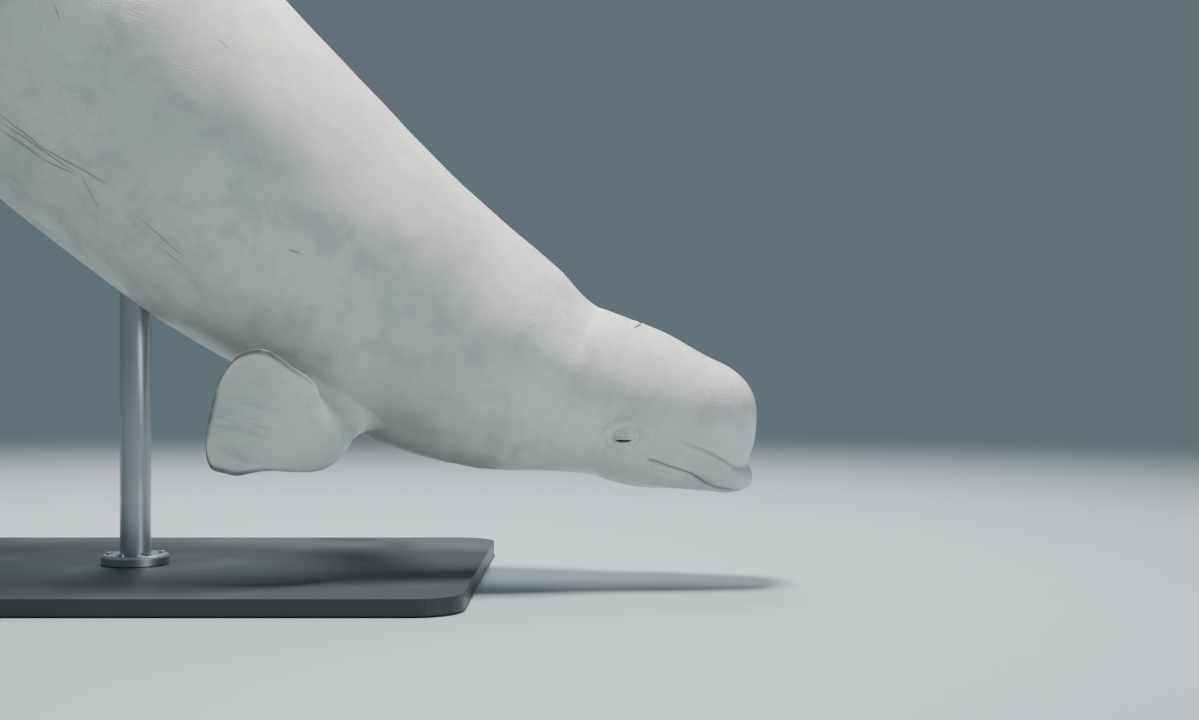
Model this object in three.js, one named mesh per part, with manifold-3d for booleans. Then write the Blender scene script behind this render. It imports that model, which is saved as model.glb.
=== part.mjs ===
import * as THREE from "three";
import { mergeVertices } from "three/addons/utils/BufferGeometryUtils.js";
import Module from "manifold-3d";

// Adult beluga whale, 4.2 m from snout to fluke notch, diving on a display stand.
// Millimetres, +Z up, +X ahead of the whale, right flank towards -Y.
// Origin: under the mass centre, on the underside of the stand's base.
// Points of the body are (station, side, height): the distance from the snout along the
// spine, the distance to the left of the middle plane, and the height over the spine.

const wasm = await Module();
wasm.setup();

// Pose
const WHALE_AT = new THREE.Vector3(231, 4, 1008);
const BANK = 10;
const BANK_PITCH = 38;
const PIVOT_STATION = 1500;
const PITCH = [
  [0, 20], [470, 20], [743, 31], [1163, 38], [1562, 42], [1950, 43],
  [2400, 40], [2900, 33], [3400, 26], [3900, 21], [4300, 20],
];

// Trunk sections: station, top, bottom, half width
const TRUNK = [
  [150, 120, -96, 96],
  [300, 188, -150, 152],
  [449, 190, -196, 180],
  [578, 238, -245, 216],
  [780, 273, -298, 247],
  [908, 291, -309, 268],
  [1418, 358, -369, 338],
  [1850, 384, -386, 372],
  [2200, 366, -366, 354],
  [2500, 322, -328, 308],
  [2800, 262, -274, 244],
  [3100, 200, -212, 172],
  [3400, 148, -154, 110],
  [3650, 110, -110, 70],
  [3850, 80, -78, 46],
  [4000, 52, -50, 32],
  [4120, 24, -22, 18],
  [4160, 8, -8, 8],
];
const NOSE_STATION = 330;
const NOSE_LENGTH = 250;

// Ovals of the head: centre (station, height), radii, roundness and tilt in degrees
const MELON = { at: [172, 50], front: 133, back: 190, wide: 122, up: 116, down: 112, power: 2.25 };
const SNOUT = { at: [152, 6], front: 124, back: 150, wide: 104, up: 90, down: 74, power: 2.4 };
const CHEEK = { at: [300, -58], front: 190, back: 190, wide: 142, up: 110, down: 95, power: 2 };
const BEAK = { at: [134, -54], front: 131, back: 170, wide: 82, up: 42, down: 26, power: 2.5 };
const JAW = { at: [152, -101], front: 150, back: 150, wide: 76, up: 34, down: 20, power: 2.4, tilt: -13 };
const HEAD_BLEND = 10;
const LIP_BLEND = 7;

// Division of the body, all in stations
const FAN_CENTRE = [210, 30];
const FAN_EASE = 200;
const FAN_RINGS = [7, 12, 15.5, 18.5, 21.5, 24.5, 28, 32, 37, 44, 52, 61, 71, 81];
const HEAD_END = 449;
const NECK_END = 640;
const CHEST_END = 1280;
const BELLY_END = 2150;
const LOIN_END = 3050;
const TAIL_END = 4150;
const HEAD_SIDES = 60;
const HEAD_STEPS = 12;
const TRUNK_SIDES = 44;

// Gaps between touching solids
const GAP = 0.3;
const SKIN_CLEARANCE = 0.4;

// Mouth, melon, eyes and blowhole
const MOUTH = [[-60, -60], [0, -70], [30, -79], [71, -82], [97, -79], [119, -75], [140, -70], [161, -67], [192, -64], [214, -62], [233, -63], [252, -68]];
const JAW_BACK = [[263, -80], [277, -125], [290, -230]];
const MELON_BASE = [[-60, -26], [10, -27], [36, -28], [53, -27], [66, -24], [81, -18], [101, -12], [126, -8], [159, -5], [190, 0], [226, 18], [262, 70], [286, 130], [300, 240]];
const LIP_GROOVE = 4.5;
const EYE = { station: 296, height: -32, radius: 19, sunk: 9 };
const LIDS = { long: 21, high: 11.5, roll: 5.5 };
const BLOWHOLE = { station: 350, half: 46, sweep: 10, radius: 5 };

// Flippers: distances ahead, out and above the spine at the root station, chord behind and
// ahead of the path, thickness, and how far the chord has turned from fore-and-aft to upright
const FLIPPER_STATION = 872;
const FLIPPER = [
  { at: [0, 127, -199], behind: 90, ahead: 84, thick: 54, turn: 0 },
  { at: [22, 192, -225], behind: 84, ahead: 78, thick: 52, turn: 6 },
  { at: [52, 275, -242], behind: 66, ahead: 58, thick: 46, turn: 30 },
  { at: [46, 340, -252], behind: 76, ahead: 78, thick: 42, turn: 54 },
  { at: [18, 376, -260], behind: 100, ahead: 86, thick: 36, turn: 68 },
  { at: [-28, 394, -270], behind: 118, ahead: 100, thick: 30, turn: 73 },
  { at: [-82, 401, -286], behind: 138, ahead: 124, thick: 25, turn: 74 },
  { at: [-122, 402, -301], behind: 118, ahead: 124, thick: 20, turn: 74 },
  { at: [-158, 399, -316], behind: 66, ahead: 116, thick: 15, turn: 74 },
];
const FLIPPER_STEPS = 18;
const FLIPPER_SIDES = 20;
const FLIPPER_TIP = 44;
const FLIPPER_CURL = 16;

// Flukes: distance out from the middle plane, leading edge, trailing edge
const FLUKE = [
  [0, 3850, 4200],
  [45, 3890, 4262],
  [100, 3945, 4305],
  [200, 4015, 4342],
  [300, 4070, 4342],
  [400, 4130, 4308],
  [470, 4190, 4262],
  [490, 4232, 4240],
];
const FLUKE_SPANS = [0, 26, 56, 95, 140, 195, 250, 305, 355, 400, 437, 464, 481];
const FLUKE_THICK = [60, 9];
const FLUKE_DROOP = 26;
const FLUKE_SIDES = 20;

// Ridge along the back
const RIDGE = { from: 2170, to: 2960, steps: 26, high: 27, half: 30, bumps: 11, sunk: 26 };

// Stand
const BASE = { long: 1800, wide: 1100, thick: 36, corner: 90, bevel: 4 };
const ROD = { radius: 34, front: 130, rear: -470, sides: 20 };
const COLLAR = { radius: 74, high: 22, chamfer: 5 };

const SKIN = { color: 0xd9dcd6, roughness: 0.5, metalness: 0 };
const EYE_FINISH = { color: 0x120f0e, roughness: 0.1, metalness: 0 };
const STEEL = { color: 0xa9adb0, roughness: 0.35, metalness: 1 };
const BASE_FINISH = { color: 0x2b2e31, roughness: 0.55, metalness: 0 };

// A cubic through named points, with slopes held so that it never overshoots them.
function curve(points) {
  const x = points.map((p) => p[0]);
  const y = points.map((p) => p[1]);
  const last = x.length - 1;
  const rise = x.slice(1).map((v, i) => (y[i + 1] - y[i]) / (v - x[i]));
  const slope = y.map((_, i) => {
    if (i === 0) return rise[0];
    if (i === last) return rise[last - 1];
    if (rise[i - 1] * rise[i] <= 0) return 0;
    const before = x[i] - x[i - 1];
    const after = x[i + 1] - x[i];
    const w1 = 2 * after + before;
    const w2 = after + 2 * before;
    return (w1 + w2) / (w1 / rise[i - 1] + w2 / rise[i]);
  });
  return (value) => {
    const v = Math.min(Math.max(value, x[0]), x[last]);
    let i = 0;
    while (i < last - 1 && v > x[i + 1]) i += 1;
    const span = x[i + 1] - x[i];
    const t = (v - x[i]) / span;
    const u = 1 - t;
    return y[i] * (1 + 2 * t) * u * u + slope[i] * span * t * u * u
      + y[i + 1] * t * t * (3 - 2 * t) - slope[i + 1] * span * t * t * u;
  };
}

const smooth = (t) => {
  const c = Math.min(Math.max(t, 0), 1);
  return c * c * (3 - 2 * c);
};

const pitch = curve(PITCH);
const top = curve(TRUNK.map((row) => [row[0], row[1]]));
const bottom = curve(TRUNK.map((row) => [row[0], row[2]]));
const halfWidth = curve(TRUNK.map((row) => [row[0], row[3]]));

// The spine, summed up from the pitch in short steps.
const SPINE_STEP = 5;
const spinePoints = [[0, 0]];
for (let s = 0; s < 4400; s += SPINE_STEP) {
  const a = THREE.MathUtils.degToRad(pitch(s));
  const b = THREE.MathUtils.degToRad(pitch(s + SPINE_STEP));
  const [x, z] = spinePoints.at(-1);
  const across = (Math.cos(a) + Math.cos(b)) / 2;
  const rise = (Math.sin(a) + Math.sin(b)) / 2;
  spinePoints.push([x - across * SPINE_STEP, z + rise * SPINE_STEP]);
}

function spine(s) {
  const at = Math.min(Math.max(s / SPINE_STEP, 0), spinePoints.length - 1.001);
  const i = Math.floor(at);
  const [ax, az] = spinePoints[i];
  const [bx, bz] = spinePoints[i + 1];
  return [ax + (bx - ax) * (at - i), az + (bz - az) * (at - i)];
}

const pivot = spine(PIVOT_STATION);

// Body coordinates to the whale's own frame; ahead of the snout the spine runs on straight.
function place([s, y, h]) {
  const [x, z] = spine(s);
  const a = THREE.MathUtils.degToRad(pitch(s));
  const extra = Math.min(s, 0);
  return new THREE.Vector3(
    x - pivot[0] + h * Math.sin(a) - extra * Math.cos(a),
    y,
    z - pivot[1] + h * Math.cos(a) + extra * Math.sin(a),
  );
}

// How far a point lies outside an oval, measured towards its centre.
function oval([s, y, h], { at, front, back, wide, up, down, power, tilt = 0 }) {
  const t = THREE.MathUtils.degToRad(tilt);
  const along = (s - at[0]) * Math.cos(t) + (h - at[1]) * Math.sin(t);
  const above = (h - at[1]) * Math.cos(t) - (s - at[0]) * Math.sin(t);
  const sum = Math.abs(along / (along < 0 ? front : back)) ** power
    + Math.abs(y / wide) ** power
    + Math.abs(above / (above > 0 ? up : down)) ** power;
  return Math.hypot(along, above, y) * (1 - 1 / Math.max(sum ** (1 / power), 1e-6));
}

// The trunk: an oval section at every station, closed in front by an oval nose.
function trunk([s, y, h]) {
  const at = Math.max(s, NOSE_STATION);
  const middle = (top(at) + bottom(at)) / 2;
  const tall = (top(at) - bottom(at)) / 2;
  const ahead = Math.max((NOSE_STATION - s) / NOSE_LENGTH, 0);
  const reach = Math.hypot(y / halfWidth(at), (h - middle) / tall, ahead);
  return Math.hypot(y, h - middle, ahead * NOSE_LENGTH) * (1 - 1 / Math.max(reach, 1e-6));
}

function blend(width, ...values) {
  const least = Math.min(...values);
  return least - width * Math.log(values.reduce((sum, v) => sum + Math.exp((least - v) / width), 0));
}

// The whole smooth body as one field, below zero inside.
function body(p) {
  if (p[0] > 900) return trunk(p);
  const skull = blend(HEAD_BLEND, trunk(p), oval(p, MELON), oval(p, SNOUT), oval(p, CHEEK));
  const mouth = blend(LIP_BLEND, oval(p, BEAK), oval(p, JAW));
  return blend(LIP_BLEND, skull, mouth);
}

// Follows a ray out of the body until the field reaches the wanted level.
function cast(start, way, level = 0) {
  let near = 0;
  let far = 700;
  for (let i = 0; i < 34; i += 1) {
    const r = (near + far) / 2;
    const inside = body(start.map((v, k) => v + way[k] * r)) < level;
    if (inside) near = r;
    else far = r;
  }
  return start.map((v, k) => v + way[k] * near);
}

// One ring of the surface: a fan ring of the head by its angle from the pole, or a station.
function bodyRing({ fan, station }, sides, level) {
  const behind = station === undefined ? 0 : station - FAN_CENTRE[0];
  const start = [FAN_CENTRE[0] + behind, 0, FAN_CENTRE[1] * (1 - smooth(behind / FAN_EASE))];
  const a = fan === undefined ? Math.PI / 2 : THREE.MathUtils.degToRad(fan);
  const ring = [];
  for (let i = 0; i < sides; i += 1) {
    const t = (i / sides) * 2 * Math.PI;
    const way = [-Math.cos(a), Math.sin(a) * Math.cos(t), Math.sin(a) * Math.sin(t)];
    ring.push(place(cast(start, way, level)));
  }
  return ring;
}

function enclosed(points, index) {
  let sum = 0;
  for (let i = 0; i < index.length; i += 3) {
    const [a, b, c] = [points[index[i]], points[index[i + 1]], points[index[i + 2]]];
    sum += a.dot(b.clone().cross(c)) / 6;
  }
  return sum;
}

// Closed surface through rings of points, with a flat or pointed cap at either end and
// its faces turned outwards.
function loft(rings, first, last) {
  const points = rings.flat();
  const sides = rings[0].length;
  const index = [];
  for (let r = 0; r + 1 < rings.length; r += 1) {
    for (let i = 0; i < sides; i += 1) {
      const j = (i + 1) % sides;
      const a = r * sides + i;
      const b = r * sides + j;
      index.push(a, b, b + sides, a, b + sides, a + sides);
    }
  }
  const start = points.push(first) - 1;
  const end = points.push(last) - 1;
  const tail = (rings.length - 1) * sides;
  for (let i = 0; i < sides; i += 1) {
    const j = (i + 1) % sides;
    index.push(start, j, i, end, tail + i, tail + j);
  }
  if (enclosed(points, index) < 0) index.reverse();
  const geometry = new THREE.BufferGeometry();
  geometry.setAttribute("position", new THREE.Float32BufferAttribute(points.flatMap((p) => p.toArray()), 3));
  geometry.setIndex(index);
  return geometry;
}

function centre(ring) {
  const sum = ring.reduce((total, p) => total.add(p), new THREE.Vector3());
  return sum.divideScalar(ring.length);
}

// A length of the body between two stations with flat ends.
function length(from, to, steps, level = 0, sides = TRUNK_SIDES) {
  const rings = [];
  for (let i = 0; i <= steps; i += 1) {
    rings.push(bodyRing({ station: from + ((to - from) * i) / steps }, sides, level));
  }
  return loft(rings, centre(rings[0]), centre(rings.at(-1)));
}

function headSurface(level = 0) {
  const rings = FAN_RINGS.map((fan) => bodyRing({ fan }, HEAD_SIDES, level));
  const end = HEAD_END - GAP / 2;
  for (let i = 0; i <= HEAD_STEPS; i += 1) {
    const station = FAN_CENTRE[0] + ((end - FAN_CENTRE[0]) * i) / HEAD_STEPS;
    rings.push(bodyRing({ station }, HEAD_SIDES, level));
  }
  const pole = place(cast([FAN_CENTRE[0], 0, FAN_CENTRE[1]], [-1, 0, 0], level));
  return loft(rings, pole, centre(rings.at(-1)));
}

// Geometry to a solid for joining and cutting, and back.
function solid(geometry) {
  const bare = geometry.clone();
  bare.deleteAttribute("normal");
  bare.deleteAttribute("uv");
  const merged = mergeVertices(bare, 1e-4);
  return new wasm.Manifold(new wasm.Mesh({
    numProp: 3,
    vertProperties: Float32Array.from(merged.attributes.position.array),
    triVerts: Uint32Array.from(merged.index.array),
  }));
}

function surface(shape) {
  const parts = shape.decompose();
  const biggest = parts.reduce((a, b) => (b.volume() > a.volume() ? b : a));
  const mesh = biggest.getMesh();
  const geometry = new THREE.BufferGeometry();
  geometry.setAttribute("position", new THREE.Float32BufferAttribute(mesh.vertProperties, 3));
  geometry.setIndex(Array.from(mesh.triVerts));
  return geometry;
}

// A solid that runs right across the head, below a line in the middle plane.
function across(line, outer, shift) {
  const steps = 26;
  const path = new THREE.CatmullRomCurve3(line.map((p) => new THREE.Vector3(p[0], p[1], 0)), false, "centripetal");
  const points = [];
  for (let i = 0; i <= steps; i += 1) {
    const p = path.getPoint(i / steps);
    const way = path.getTangent(i / steps);
    points.push([p.x - way.y * shift, p.y + way.x * shift]);
  }
  const corners = [...points, ...outer].map(([s, h]) => place([s, 0, h]));
  const shape = new THREE.Shape(corners.map((p) => new THREE.Vector2(p.x, p.z)));
  const geometry = new THREE.ExtrudeGeometry(shape, { depth: 500, bevelEnabled: false });
  geometry.rotateX(Math.PI / 2);
  geometry.translate(0, 250, 0);
  return solid(geometry);
}

// A round bar along points.
function bar(points, radius, steps, sides = 6) {
  const section = new THREE.Shape();
  for (let i = 0; i < sides; i += 1) {
    const t = (i / sides) * 2 * Math.PI;
    if (i === 0) section.moveTo(radius, 0);
    else section.lineTo(radius * Math.cos(t), radius * Math.sin(t));
  }
  const extrudePath = new THREE.CatmullRomCurve3(points, false, "centripetal");
  return solid(new THREE.ExtrudeGeometry(section, { steps, bevelEnabled: false, extrudePath }));
}

// The line of the mouth on the surface, from corner to corner round the front.
function mouthLine() {
  const height = curve(MOUTH);
  const corner = MOUTH.at(-2)[0];
  const points = [];
  const steps = 40;
  for (let i = 0; i <= steps; i += 1) {
    const a = ((i / steps) * 2 - 1) * (Math.PI / 2 + 0.06);
    const start = [corner, 0, height(corner)];
    let hit = cast(start, [-Math.cos(a), Math.sin(a), 0]);
    for (let k = 0; k < 3; k += 1) {
      start[2] = height(hit[0]);
      hit = cast(start, [-Math.cos(a), Math.sin(a), 0]);
    }
    points.push(place(hit));
  }
  return points;
}

// The blowhole: a shallow crescent across the top, its ends a little behind its middle.
function blowholeLine() {
  const points = [];
  for (let i = -6; i <= 6; i += 1) {
    const t = i / 6;
    const station = BLOWHOLE.station + BLOWHOLE.sweep * t * t;
    const [s, y, h] = cast([station, BLOWHOLE.half * t, 0], [0, 0, 1]);
    points.push(place([s, y, h + BLOWHOLE.radius * (1.6 * t ** 4 - 0.2)]));
  }
  return points;
}

// Frame at an eye: its place on the surface, outward, backward and upward directions.
function eyeFrame(side) {
  const out = cast([EYE.station, 0, EYE.height], [0, side, 0]);
  const behind = cast([EYE.station + 12, 0, EYE.height], [0, side, 0]);
  const above = cast([EYE.station, 0, EYE.height + 12], [0, side, 0]);
  const at = place(out);
  const back = place(behind).sub(at).normalize();
  const up = place(above).sub(at).normalize();
  const outward = new THREE.Vector3().crossVectors(back, up).multiplyScalar(side).normalize();
  if (outward.y * side < 0) outward.negate();
  up.crossVectors(outward, back).multiplyScalar(side > 0 ? 1 : -1).normalize();
  return { at, back, up, outward };
}

function inFrame(geometry, { at, back, up, outward }, depth) {
  const right = new THREE.Vector3().crossVectors(up, outward);
  const matrix = new THREE.Matrix4().makeBasis(right, up, outward);
  matrix.setPosition(at.clone().addScaledVector(outward, -depth));
  return geometry.applyMatrix4(matrix);
}

function eyeball(side, more = 0) {
  const geometry = new THREE.SphereGeometry(EYE.radius + more, 16, 10);
  return inFrame(geometry, eyeFrame(side), EYE.sunk);
}

function lidRing(side) {
  const geometry = new THREE.TorusGeometry(1, LIDS.roll / LIDS.long, 7, 24);
  geometry.scale(LIDS.long, LIDS.high, LIDS.long);
  return inFrame(geometry, eyeFrame(side), -0.5);
}

// One flipper: oval sections along its path, each turned and curled, closed by a round tip.
function flipper(side) {
  const rootAngle = THREE.MathUtils.degToRad(pitch(FLIPPER_STATION));
  const forward = new THREE.Vector3(Math.cos(rootAngle), 0, -Math.sin(rootAngle));
  const upward = new THREE.Vector3(Math.sin(rootAngle), 0, Math.cos(rootAngle));
  const outward = new THREE.Vector3(0, side, 0);
  const start = place([FLIPPER_STATION, 0, 0]);
  const at = (ahead, out, above) => start.clone()
    .addScaledVector(forward, ahead)
    .addScaledVector(outward, out)
    .addScaledVector(upward, above);
  const path = new THREE.CatmullRomCurve3(FLIPPER.map((key) => at(...key.at)), false, "centripetal");
  const sized = (name) => curve(FLIPPER.map((key, i) => [i / (FLIPPER.length - 1), key[name]]));
  const [behind, ahead, thick, turn] = ["behind", "ahead", "thick", "turn"].map(sized);
  const end = path.getLength();
  const rings = [];
  for (let i = 0; i < FLIPPER_STEPS; i += 1) {
    const gone = end * (1 - (1 - i / FLIPPER_STEPS) ** 1.35);
    const t = path.getUtoTmapping(0, gone);
    const p = path.getPoint(t);
    const way = path.getTangent(t);
    const a = THREE.MathUtils.degToRad(turn(t));
    const chord = forward.clone().multiplyScalar(-Math.cos(a))
      .addScaledVector(upward, Math.sin(a))
      .addScaledVector(outward, -0.16 * Math.sin(a));
    chord.addScaledVector(way, -chord.dot(way)).normalize();
    const normal = new THREE.Vector3().crossVectors(way, chord).multiplyScalar(side).normalize();
    if (normal.dot(outward) + normal.dot(upward) < 0) normal.negate();
    const left = Math.max(end - gone, 0);
    const round = left < FLIPPER_TIP ? (1 - (1 - left / FLIPPER_TIP) ** 2.4) ** 0.45 : 1;
    const curl = FLIPPER_CURL * smooth((t - 0.4) / 0.3);
    const ring = [];
    for (let k = 0; k < FLIPPER_SIDES; k += 1) {
      const b = (k / FLIPPER_SIDES) * 2 * Math.PI * side;
      const c = Math.cos(b);
      const wide = (c > 0 ? behind(t) : ahead(t)) * c * round;
      const deep = (thick(t) / 2) * Math.sin(b) * (c > 0 ? 1 - 0.4 * c : 1) * (0.45 + 0.55 * round);
      ring.push(p.clone().addScaledVector(chord, wide).addScaledVector(normal, deep + curl * c * c * round));
    }
    rings.push(ring);
  }
  return loft(rings, centre(rings[0]), path.getPoint(1));
}

// One fluke: foil sections side by side from the middle plane out to the tip.
function fluke(side) {
  const leading = curve(FLUKE.map((row) => [row[0], row[1]]));
  const trailing = curve(FLUKE.map((row) => [row[0], row[2]]));
  const span = FLUKE.at(-1)[0];
  const rings = FLUKE_SPANS.map((v, i) => {
    const y = i === 0 ? GAP / 2 : v;
    const half = (trailing(v) - leading(v)) / 2;
    const middle = (trailing(v) + leading(v)) / 2;
    const thick = THREE.MathUtils.lerp(FLUKE_THICK[0], FLUKE_THICK[1], (v / span) ** 0.75);
    const droop = FLUKE_DROOP * (v / span) ** 2;
    const ring = [];
    for (let k = 0; k < FLUKE_SIDES; k += 1) {
      const b = (k / FLUKE_SIDES) * 2 * Math.PI * side;
      const c = Math.cos(b);
      const deep = (thick / 2) * Math.sin(b) * (1 - 0.45 * c);
      ring.push(place([middle + half * c, y * side, deep - droop]));
    }
    return ring;
  });
  const tip = place([(FLUKE.at(-1)[1] + FLUKE.at(-1)[2]) / 2, span * side, -FLUKE_DROOP]);
  return loft(rings, centre(rings[0]), tip);
}

// The low ridge along the back, with its row of soft bumps.
function ridge() {
  const rings = [];
  const sides = 12;
  const at = (s) => top(s);
  for (let i = 1; i < RIDGE.steps; i += 1) {
    const t = i / RIDGE.steps;
    const s = RIDGE.from + (RIDGE.to - RIDGE.from) * t;
    const swell = Math.sin(Math.PI * t) ** 0.7;
    const bump = 1 + 0.16 * Math.sin(2 * Math.PI * RIDGE.bumps * t);
    const ring = [];
    for (let k = 0; k < sides; k += 1) {
      const b = (k / sides) * 2 * Math.PI;
      const high = (RIDGE.high * swell * bump + RIDGE.sunk) * Math.sin(b);
      const low = RIDGE.sunk * 0.7 * Math.sin(b);
      ring.push(place([s, RIDGE.half * (0.35 + 0.65 * swell) * Math.cos(b), at(s) - RIDGE.sunk + Math.max(high, low)]));
    }
    rings.push(ring.reverse());
  }
  const first = place([RIDGE.from, 0, at(RIDGE.from) - RIDGE.sunk]);
  const last = place([RIDGE.to, 0, at(RIDGE.to) - RIDGE.sunk]);
  return loft(rings.map((r) => r.reverse()), first, last);
}

const root = new THREE.Group();
const whale = new THREE.Group();
const axis = THREE.MathUtils.degToRad(BANK_PITCH);
const ahead = new THREE.Vector3(Math.cos(axis), 0, -Math.sin(axis));
whale.quaternion.setFromAxisAngle(ahead, THREE.MathUtils.degToRad(BANK));
whale.position.copy(WHALE_AT);
whale.updateMatrix();
root.add(whale);

function add(group, name, geometry, finish) {
  const mesh = new THREE.Mesh(geometry, new THREE.MeshStandardMaterial(finish));
  mesh.name = name;
  group.add(mesh);
  return mesh;
}

// Head, melon and lower jaw, parted by thin cuts
const lineOfMouth = mouthLine();
let skull = solid(headSurface());
for (const side of [1, -1]) {
  skull = skull.add(solid(lidRing(side))).subtract(solid(eyeball(side, GAP)));
}
skull = skull.subtract(bar(lineOfMouth, LIP_GROOVE, 40));
skull = skull.subtract(bar(blowholeLine(), BLOWHOLE.radius, 18));
const jawLine = [...MOUTH, ...JAW_BACK];
const jawOuter = [[100, -400], [-100, -400], [-100, -60]];
const melonOuter = [[100, 400], [-100, 400], [-100, -26]];
const jawSolid = skull.intersect(across(jawLine, jawOuter, -GAP / 2));
const upper = skull.subtract(across(jawLine, jawOuter, GAP / 2));
const melonSolid = upper.intersect(across(MELON_BASE, melonOuter, GAP / 2));
const headSolid = upper.subtract(across(MELON_BASE, melonOuter, -GAP / 2));
add(whale, "head", surface(headSolid), SKIN);
add(whale, "melon", surface(melonSolid), SKIN);
add(whale, "lower_jaw", surface(jawSolid), SKIN);
add(whale, "eye_left", surface(solid(eyeball(1))), EYE_FINISH);
add(whale, "eye_right", surface(solid(eyeball(-1))), EYE_FINISH);

// Neck, chest, belly, loin and tail stock
const half = GAP / 2;
add(whale, "neck", length(HEAD_END + half, NECK_END - half, 5), SKIN);
add(whale, "chest", length(NECK_END + half, CHEST_END - half, 8), SKIN);
add(whale, "belly", length(CHEST_END + half, BELLY_END - half, 9), SKIN);
add(whale, "loin", length(BELLY_END + half, LOIN_END - half, 10), SKIN);
add(whale, "tail_stock", length(LOIN_END + half, TAIL_END, 13), SKIN);

// Flippers, flukes and ridge, each cut to the body that carries it
const chestCutter = solid(length(NECK_END, CHEST_END, 8, SKIN_CLEARANCE));
const loinCutter = solid(length(BELLY_END, LOIN_END, 10, SKIN_CLEARANCE));
const tailCutter = solid(length(LOIN_END, TAIL_END, 13, SKIN_CLEARANCE));
for (const [side, name] of [[1, "left"], [-1, "right"]]) {
  add(whale, `flipper_${name}`, surface(solid(flipper(side)).subtract(chestCutter)), SKIN);
  add(whale, `fluke_${name}`, surface(solid(fluke(side)).subtract(tailCutter)), SKIN);
}
add(whale, "dorsal_ridge", surface(solid(ridge()).subtract(loinCutter)), SKIN);

// Stand: a flat base, two rods cut to the underside of the body, and a collar at each foot
function rounded(long, wide, corner) {
  const x = long / 2;
  const y = wide / 2;
  const shape = new THREE.Shape();
  shape.moveTo(x, corner - y);
  shape.lineTo(x, y - corner);
  shape.absarc(x - corner, y - corner, corner, 0, Math.PI / 2);
  shape.absarc(corner - x, y - corner, corner, Math.PI / 2, Math.PI);
  shape.absarc(corner - x, corner - y, corner, Math.PI, 1.5 * Math.PI);
  shape.absarc(x - corner, corner - y, corner, 1.5 * Math.PI, 2 * Math.PI);
  return shape;
}

// Height of the placed spine over a point of the base's middle line.
function spineHeight(x) {
  let s = 0;
  let p = place([s, 0, 0]).applyMatrix4(whale.matrix);
  while (p.x > x) {
    s += 10;
    p = place([s, 0, 0]).applyMatrix4(whale.matrix);
  }
  return p.z;
}

const plate = new THREE.ExtrudeGeometry(
  rounded(BASE.long - 2 * BASE.bevel, BASE.wide - 2 * BASE.bevel, BASE.corner),
  { depth: BASE.thick - BASE.bevel, bevelThickness: BASE.bevel, bevelSize: BASE.bevel, bevelSegments: 2, curveSegments: 5 },
);
plate.translate(0, 0, BASE.bevel);
const ground = solid(plate);
const slab = new THREE.BoxGeometry(2 * BASE.long, 2 * BASE.wide, BASE.thick);
slab.translate(0, 0, BASE.thick / 2);
add(root, "stand_base", surface(ground.intersect(solid(slab))), BASE_FINISH);

const bellyCutter = length(CHEST_END, BELLY_END, 9, SKIN_CLEARANCE).applyMatrix4(whale.matrix);
const loinPlaced = length(BELLY_END, LOIN_END, 10, SKIN_CLEARANCE).applyMatrix4(whale.matrix);
const underside = solid(bellyCutter).add(solid(loinPlaced));
for (const [name, x] of [["front", ROD.front], ["rear", ROD.rear]]) {
  const foot = BASE.thick + GAP;
  const reach = spineHeight(x);
  const rod = new THREE.CylinderGeometry(ROD.radius, ROD.radius, reach - foot, ROD.sides);
  rod.rotateX(Math.PI / 2);
  rod.translate(x, 0, (reach + foot) / 2);
  add(root, `stand_rod_${name}`, surface(solid(rod).subtract(underside)), STEEL);

  const inner = ROD.radius + GAP;
  const { radius, high, chamfer } = COLLAR;
  const profile = [
    [inner, 0], [radius, 0], [radius, high - chamfer], [radius - chamfer, high],
    [inner + chamfer, high], [inner, high - chamfer], [inner, 0],
  ].map(([r, z]) => new THREE.Vector2(r, z));
  const collar = new THREE.LatheGeometry(profile, ROD.sides);
  collar.rotateX(Math.PI / 2);
  collar.translate(x, 0, foot);
  add(root, `stand_collar_${name}`, surface(solid(collar)), STEEL);
}

export default root;
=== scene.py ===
"""Life-size museum model of a beluga whale, nose-down on a steel stand.

The whale is one skin, worked out as grids of points. Shapes are in millimetres in body
coordinates (station along the spine from the snout, side to the left, height over the
spine), then bent along the spine, banked, and put into the mesh in metres.
"""

import math

import bpy
import numpy as np
from bpy.props import FloatProperty, FloatVectorProperty, IntProperty, PointerProperty
from bpy.types import Operator, Panel, PropertyGroup
from mathutils import Matrix, Vector


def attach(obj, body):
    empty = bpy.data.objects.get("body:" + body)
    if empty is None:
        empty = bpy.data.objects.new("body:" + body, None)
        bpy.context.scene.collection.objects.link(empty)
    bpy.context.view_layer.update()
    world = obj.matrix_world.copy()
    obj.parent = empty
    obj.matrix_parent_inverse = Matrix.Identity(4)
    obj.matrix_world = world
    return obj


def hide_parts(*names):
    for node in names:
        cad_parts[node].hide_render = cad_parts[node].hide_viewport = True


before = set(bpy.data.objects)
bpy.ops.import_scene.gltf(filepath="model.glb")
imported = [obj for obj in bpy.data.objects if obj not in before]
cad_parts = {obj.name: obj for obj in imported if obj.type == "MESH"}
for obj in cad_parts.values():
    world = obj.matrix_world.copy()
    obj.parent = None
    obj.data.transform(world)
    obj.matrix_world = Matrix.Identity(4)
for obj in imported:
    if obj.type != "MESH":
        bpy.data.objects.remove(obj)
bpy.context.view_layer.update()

bl_info = {
    "name": "Beluga Whale Museum Model",
    "version": (1, 0, 0),
    "blender": (4, 5, 0),
    "location": "View3D > Sidebar > Beluga",
    "description": "Builds the skin, eyes, stand finishes and studio of a life-size beluga whale",
    "category": "Object",
}

# Pose, in millimetres and degrees
WHALE_AT = np.array([231.0, 4.0, 1008.0])
BANK = 10.0
BANK_PITCH = 38.0
PIVOT_STATION = 1500.0
PITCH = [
    (0, 20), (470, 20), (743, 31), (1163, 38), (1562, 42), (1950, 43),
    (2400, 40), (2900, 33), (3400, 26), (3900, 21), (4300, 20),
]
SPINE_END = 4406.0
SPINE_STEP = 5.0

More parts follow.
